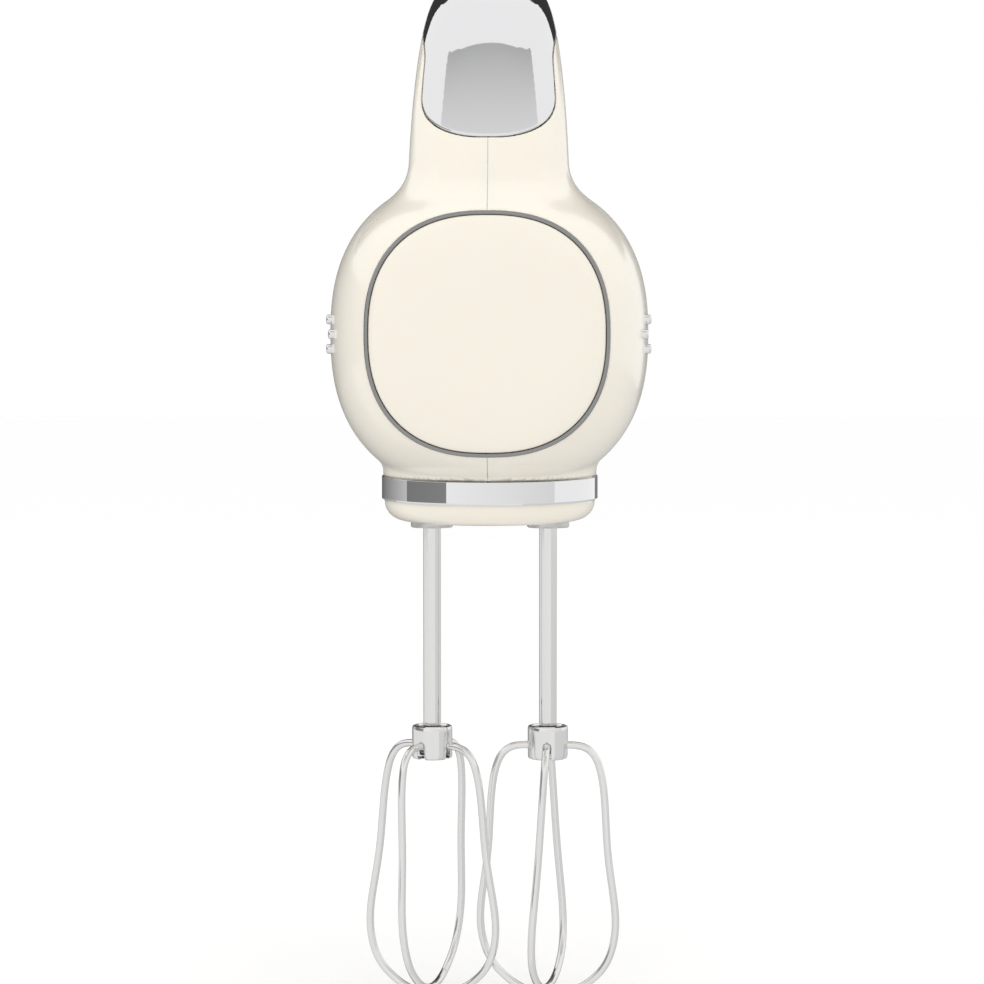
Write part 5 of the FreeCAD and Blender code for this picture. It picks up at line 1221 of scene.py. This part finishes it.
for node, solid in frame["nodes"].items():
    own = [s.material.name.split(".")[0] for s in solid.material_slots if s.material]
    slot = slot_of_node.get(node) or (own[0] if own and own[0] in FINISHES else "grey_nylon")
    if not solid.material_slots:
        solid.data.materials.append(FINISHES[slot])
    for place in solid.material_slots:
        place.material = FINISHES[slot]
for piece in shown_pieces():
    if "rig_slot" in piece:
        piece.data.materials.append(FINISHES[piece["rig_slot"]])

# %% [markdown]
# ## Floor, light and cards
#
# A pale object on a pale ground is lit from everywhere. The world is a white dome that dims
# a little straight below, and two soft lights add a little shape from above and in front. A
# mirror shows what stands round it, so plated trim needs something to show: cards. Each card
# is a patch of a sphere round the object, between two directions and two elevations, and it
# glows by itself. Only reflections see it. Its brightness is a colour attribute, so it can
# fade from end to end. The floor is seen by the camera only.

# %% Stage
scene = bpy.context.scene
scene.view_settings.view_transform = "Standard"
world = bpy.data.worlds.new("white dome")
world.use_nodes = True
nodes, links = world.node_tree.nodes, world.node_tree.links
background, direction = nodes["Background"], nodes.new("ShaderNodeTexCoord")
background.inputs["Color"].default_value = (1.0, 1.0, 1.0, 1)
parts_of, dimming = nodes.new("ShaderNodeSeparateXYZ"), nodes.new("ShaderNodeMapRange")
links.new(direction.outputs["Generated"], parts_of.inputs["Vector"])
links.new(parts_of.outputs["Z"], dimming.inputs["Value"])
for socket, value in (("From Min", -1.0), ("From Max", -0.3), ("To Min", 0.8), ("To Max", 1.0)):
    dimming.inputs[socket].default_value = value
links.new(dimming.outputs["Result"], background.inputs["Strength"])
scene.world = world


def sheet_of(name, points, faces, material):
    """A stage object from points in metres."""
    mesh = bpy.data.meshes.new(name)
    mesh.from_pydata([tuple(map(float, p)) for p in points], [], [tuple(map(int, f)) for f in faces])
    mesh.materials.append(material)
    made = bpy.data.objects.new(name, mesh)
    scene.collection.objects.link(made)
    return made


FLOOR_Z = START_BOUNDS[0][2] - 0.0002
REACH = 6.0
corners = [(x * REACH, y * REACH, FLOOR_Z) for x, y in ((-1, -1), (1, -1), (1, 1), (-1, 1))]
paper = finish("floor_paper", (0.99, 0.99, 0.99), 0.9, 0.0, 300, 0.01, 0.02, 0.002)
floor = sheet_of("floor", corners, [(0, 1, 2, 3)], paper)
floor.visible_glossy = floor.visible_diffuse = False

glow = bpy.data.materials.new("card_glow")
glow.use_nodes = True
nodes, links = glow.node_tree.nodes, glow.node_tree.links
nodes.remove(nodes["Principled BSDF"])
shade_node, glow_node = nodes.new("ShaderNodeAttribute"), nodes.new("ShaderNodeEmission")
shade_node.attribute_name = "shade"
links.new(shade_node.outputs["Color"], glow_node.inputs["Color"])
links.new(glow_node.outputs["Emission"], nodes["Material Output"].inputs["Surface"])


def card(name, turn, rise, shade, flare=0.0, arch=0.0, radius=0.9, middle=0.03):
    """A patch of a sphere. turn and rise are its limits in degrees, turn measured from the nose.

    shade gives the brightness at the low start, low end, high start and high end; two numbers
    give a card that is the same from bottom to top.
    flare widens the top, and arch lowers the top's corners, both in degrees."""
    across, up = np.meshgrid(np.linspace(0, 1, 25), np.linspace(0, 1, 13), indexing="xy")
    wider = flare * up**3 * (2 * across - 1)
    a = np.radians(turn[0] + (turn[1] - turn[0]) * across + wider)
    e = np.radians(rise[0] + (rise[1] - rise[0] - arch * (2 * across - 1) ** 2) * up)
    x, y, z = np.sin(a) * np.cos(e), -np.cos(a) * np.cos(e), np.sin(e)
    points = np.stack([x * radius, y * radius, z * radius + middle], axis=-1).reshape(-1, 3)
    made = sheet_of(name, points, lattice(13, 25), glow)
    bright = (1 - up) * (shade[0] * (1 - across) + shade[1] * across)
    bright = (bright + up * (shade[-2] * (1 - across) + shade[-1] * across)).ravel()
    colour = made.data.attributes.new("shade", "FLOAT_COLOR", "POINT")
    rgba = np.stack([bright, bright, bright, np.ones_like(bright)], axis=1)
    colour.data.foreach_set("color", rgba.astype(np.float32).ravel())
    made.visible_camera = made.visible_diffuse = made.visible_shadow = False
    made.visible_transmission = made.visible_volume_scatter = False
    return made


card("flag_left", (-109, -50), (-5.3, 15), (0.22, 0.26))
card("fade_left", (-180, -109), (-5.3, 15), (0.02, 0.60))
card("front_low", (-50, 84), (-5.3, 15), (1.0, 0.80))
card("back_low", (158, 180), (-5.3, 15), (0.22, 0.22))
card("back_high", (145, 215), (15.5, 52), (0.04, 0.04))
card("under_left", (-180, -128), (-60, -5.4), (0.15, 0.55, 0.12, 0.55))
card("under_front", (-128, 40), (-60, -5.4), (0.86, 0.92, 0.88, 0.94))
card("under_right", (40, 130), (-60, -5.4), (0.74, 0.70, 0.78, 0.74))
card("under_edge", (130, 180), (-60, -5.4), (0.70, 0.40, 0.74, 0.36))
card("front_high", (-62, 66), (28, 75), (0.95, 0.95, 0.50, 0.50), flare=16, arch=17)


def soft_light(name, place, aim, size, power):
    """A square area light at a place, turned to face a point; mirrors don't see it."""
    lamp = bpy.data.lights.new(name, "AREA")
    lamp.shape, lamp.size, lamp.energy = "SQUARE", size, power
    holder = bpy.data.objects.new(name, lamp)
    holder.location = place
    holder.rotation_euler = (Vector(aim) - Vector(place)).to_track_quat("-Z", "Y").to_euler()
    holder.visible_glossy = False
    scene.collection.objects.link(holder)
    return holder


soft_light("key", (-0.5, -0.9, 0.9), (0, 0, 0.03), 0.7, 1.2)
soft_light("top", (0.2, 0.1, 1.1), (0, 0.03, 0.05), 0.8, 1.0)

# %% [markdown]
# ## Camera
#
# The camera looks at the nose from 850 mm away, a little to the right of the middle plane and
# level with the middle of the barrel, and is pitched down by three degrees.

# %% Camera
lens = bpy.data.cameras.new("camera")
lens.sensor_width, lens.lens = 36.0, 109.6
lens.clip_start, lens.clip_end = 0.01, 20.0
camera = bpy.data.objects.new("camera", lens)
camera.location = (0.0119, -0.850, 0.0523)
target = Vector((0.00057, 0.0, 0.0072))
camera.rotation_euler = (target - camera.location).to_track_quat("-Z", "Y").to_euler()
scene.collection.objects.link(camera)
scene.camera = camera
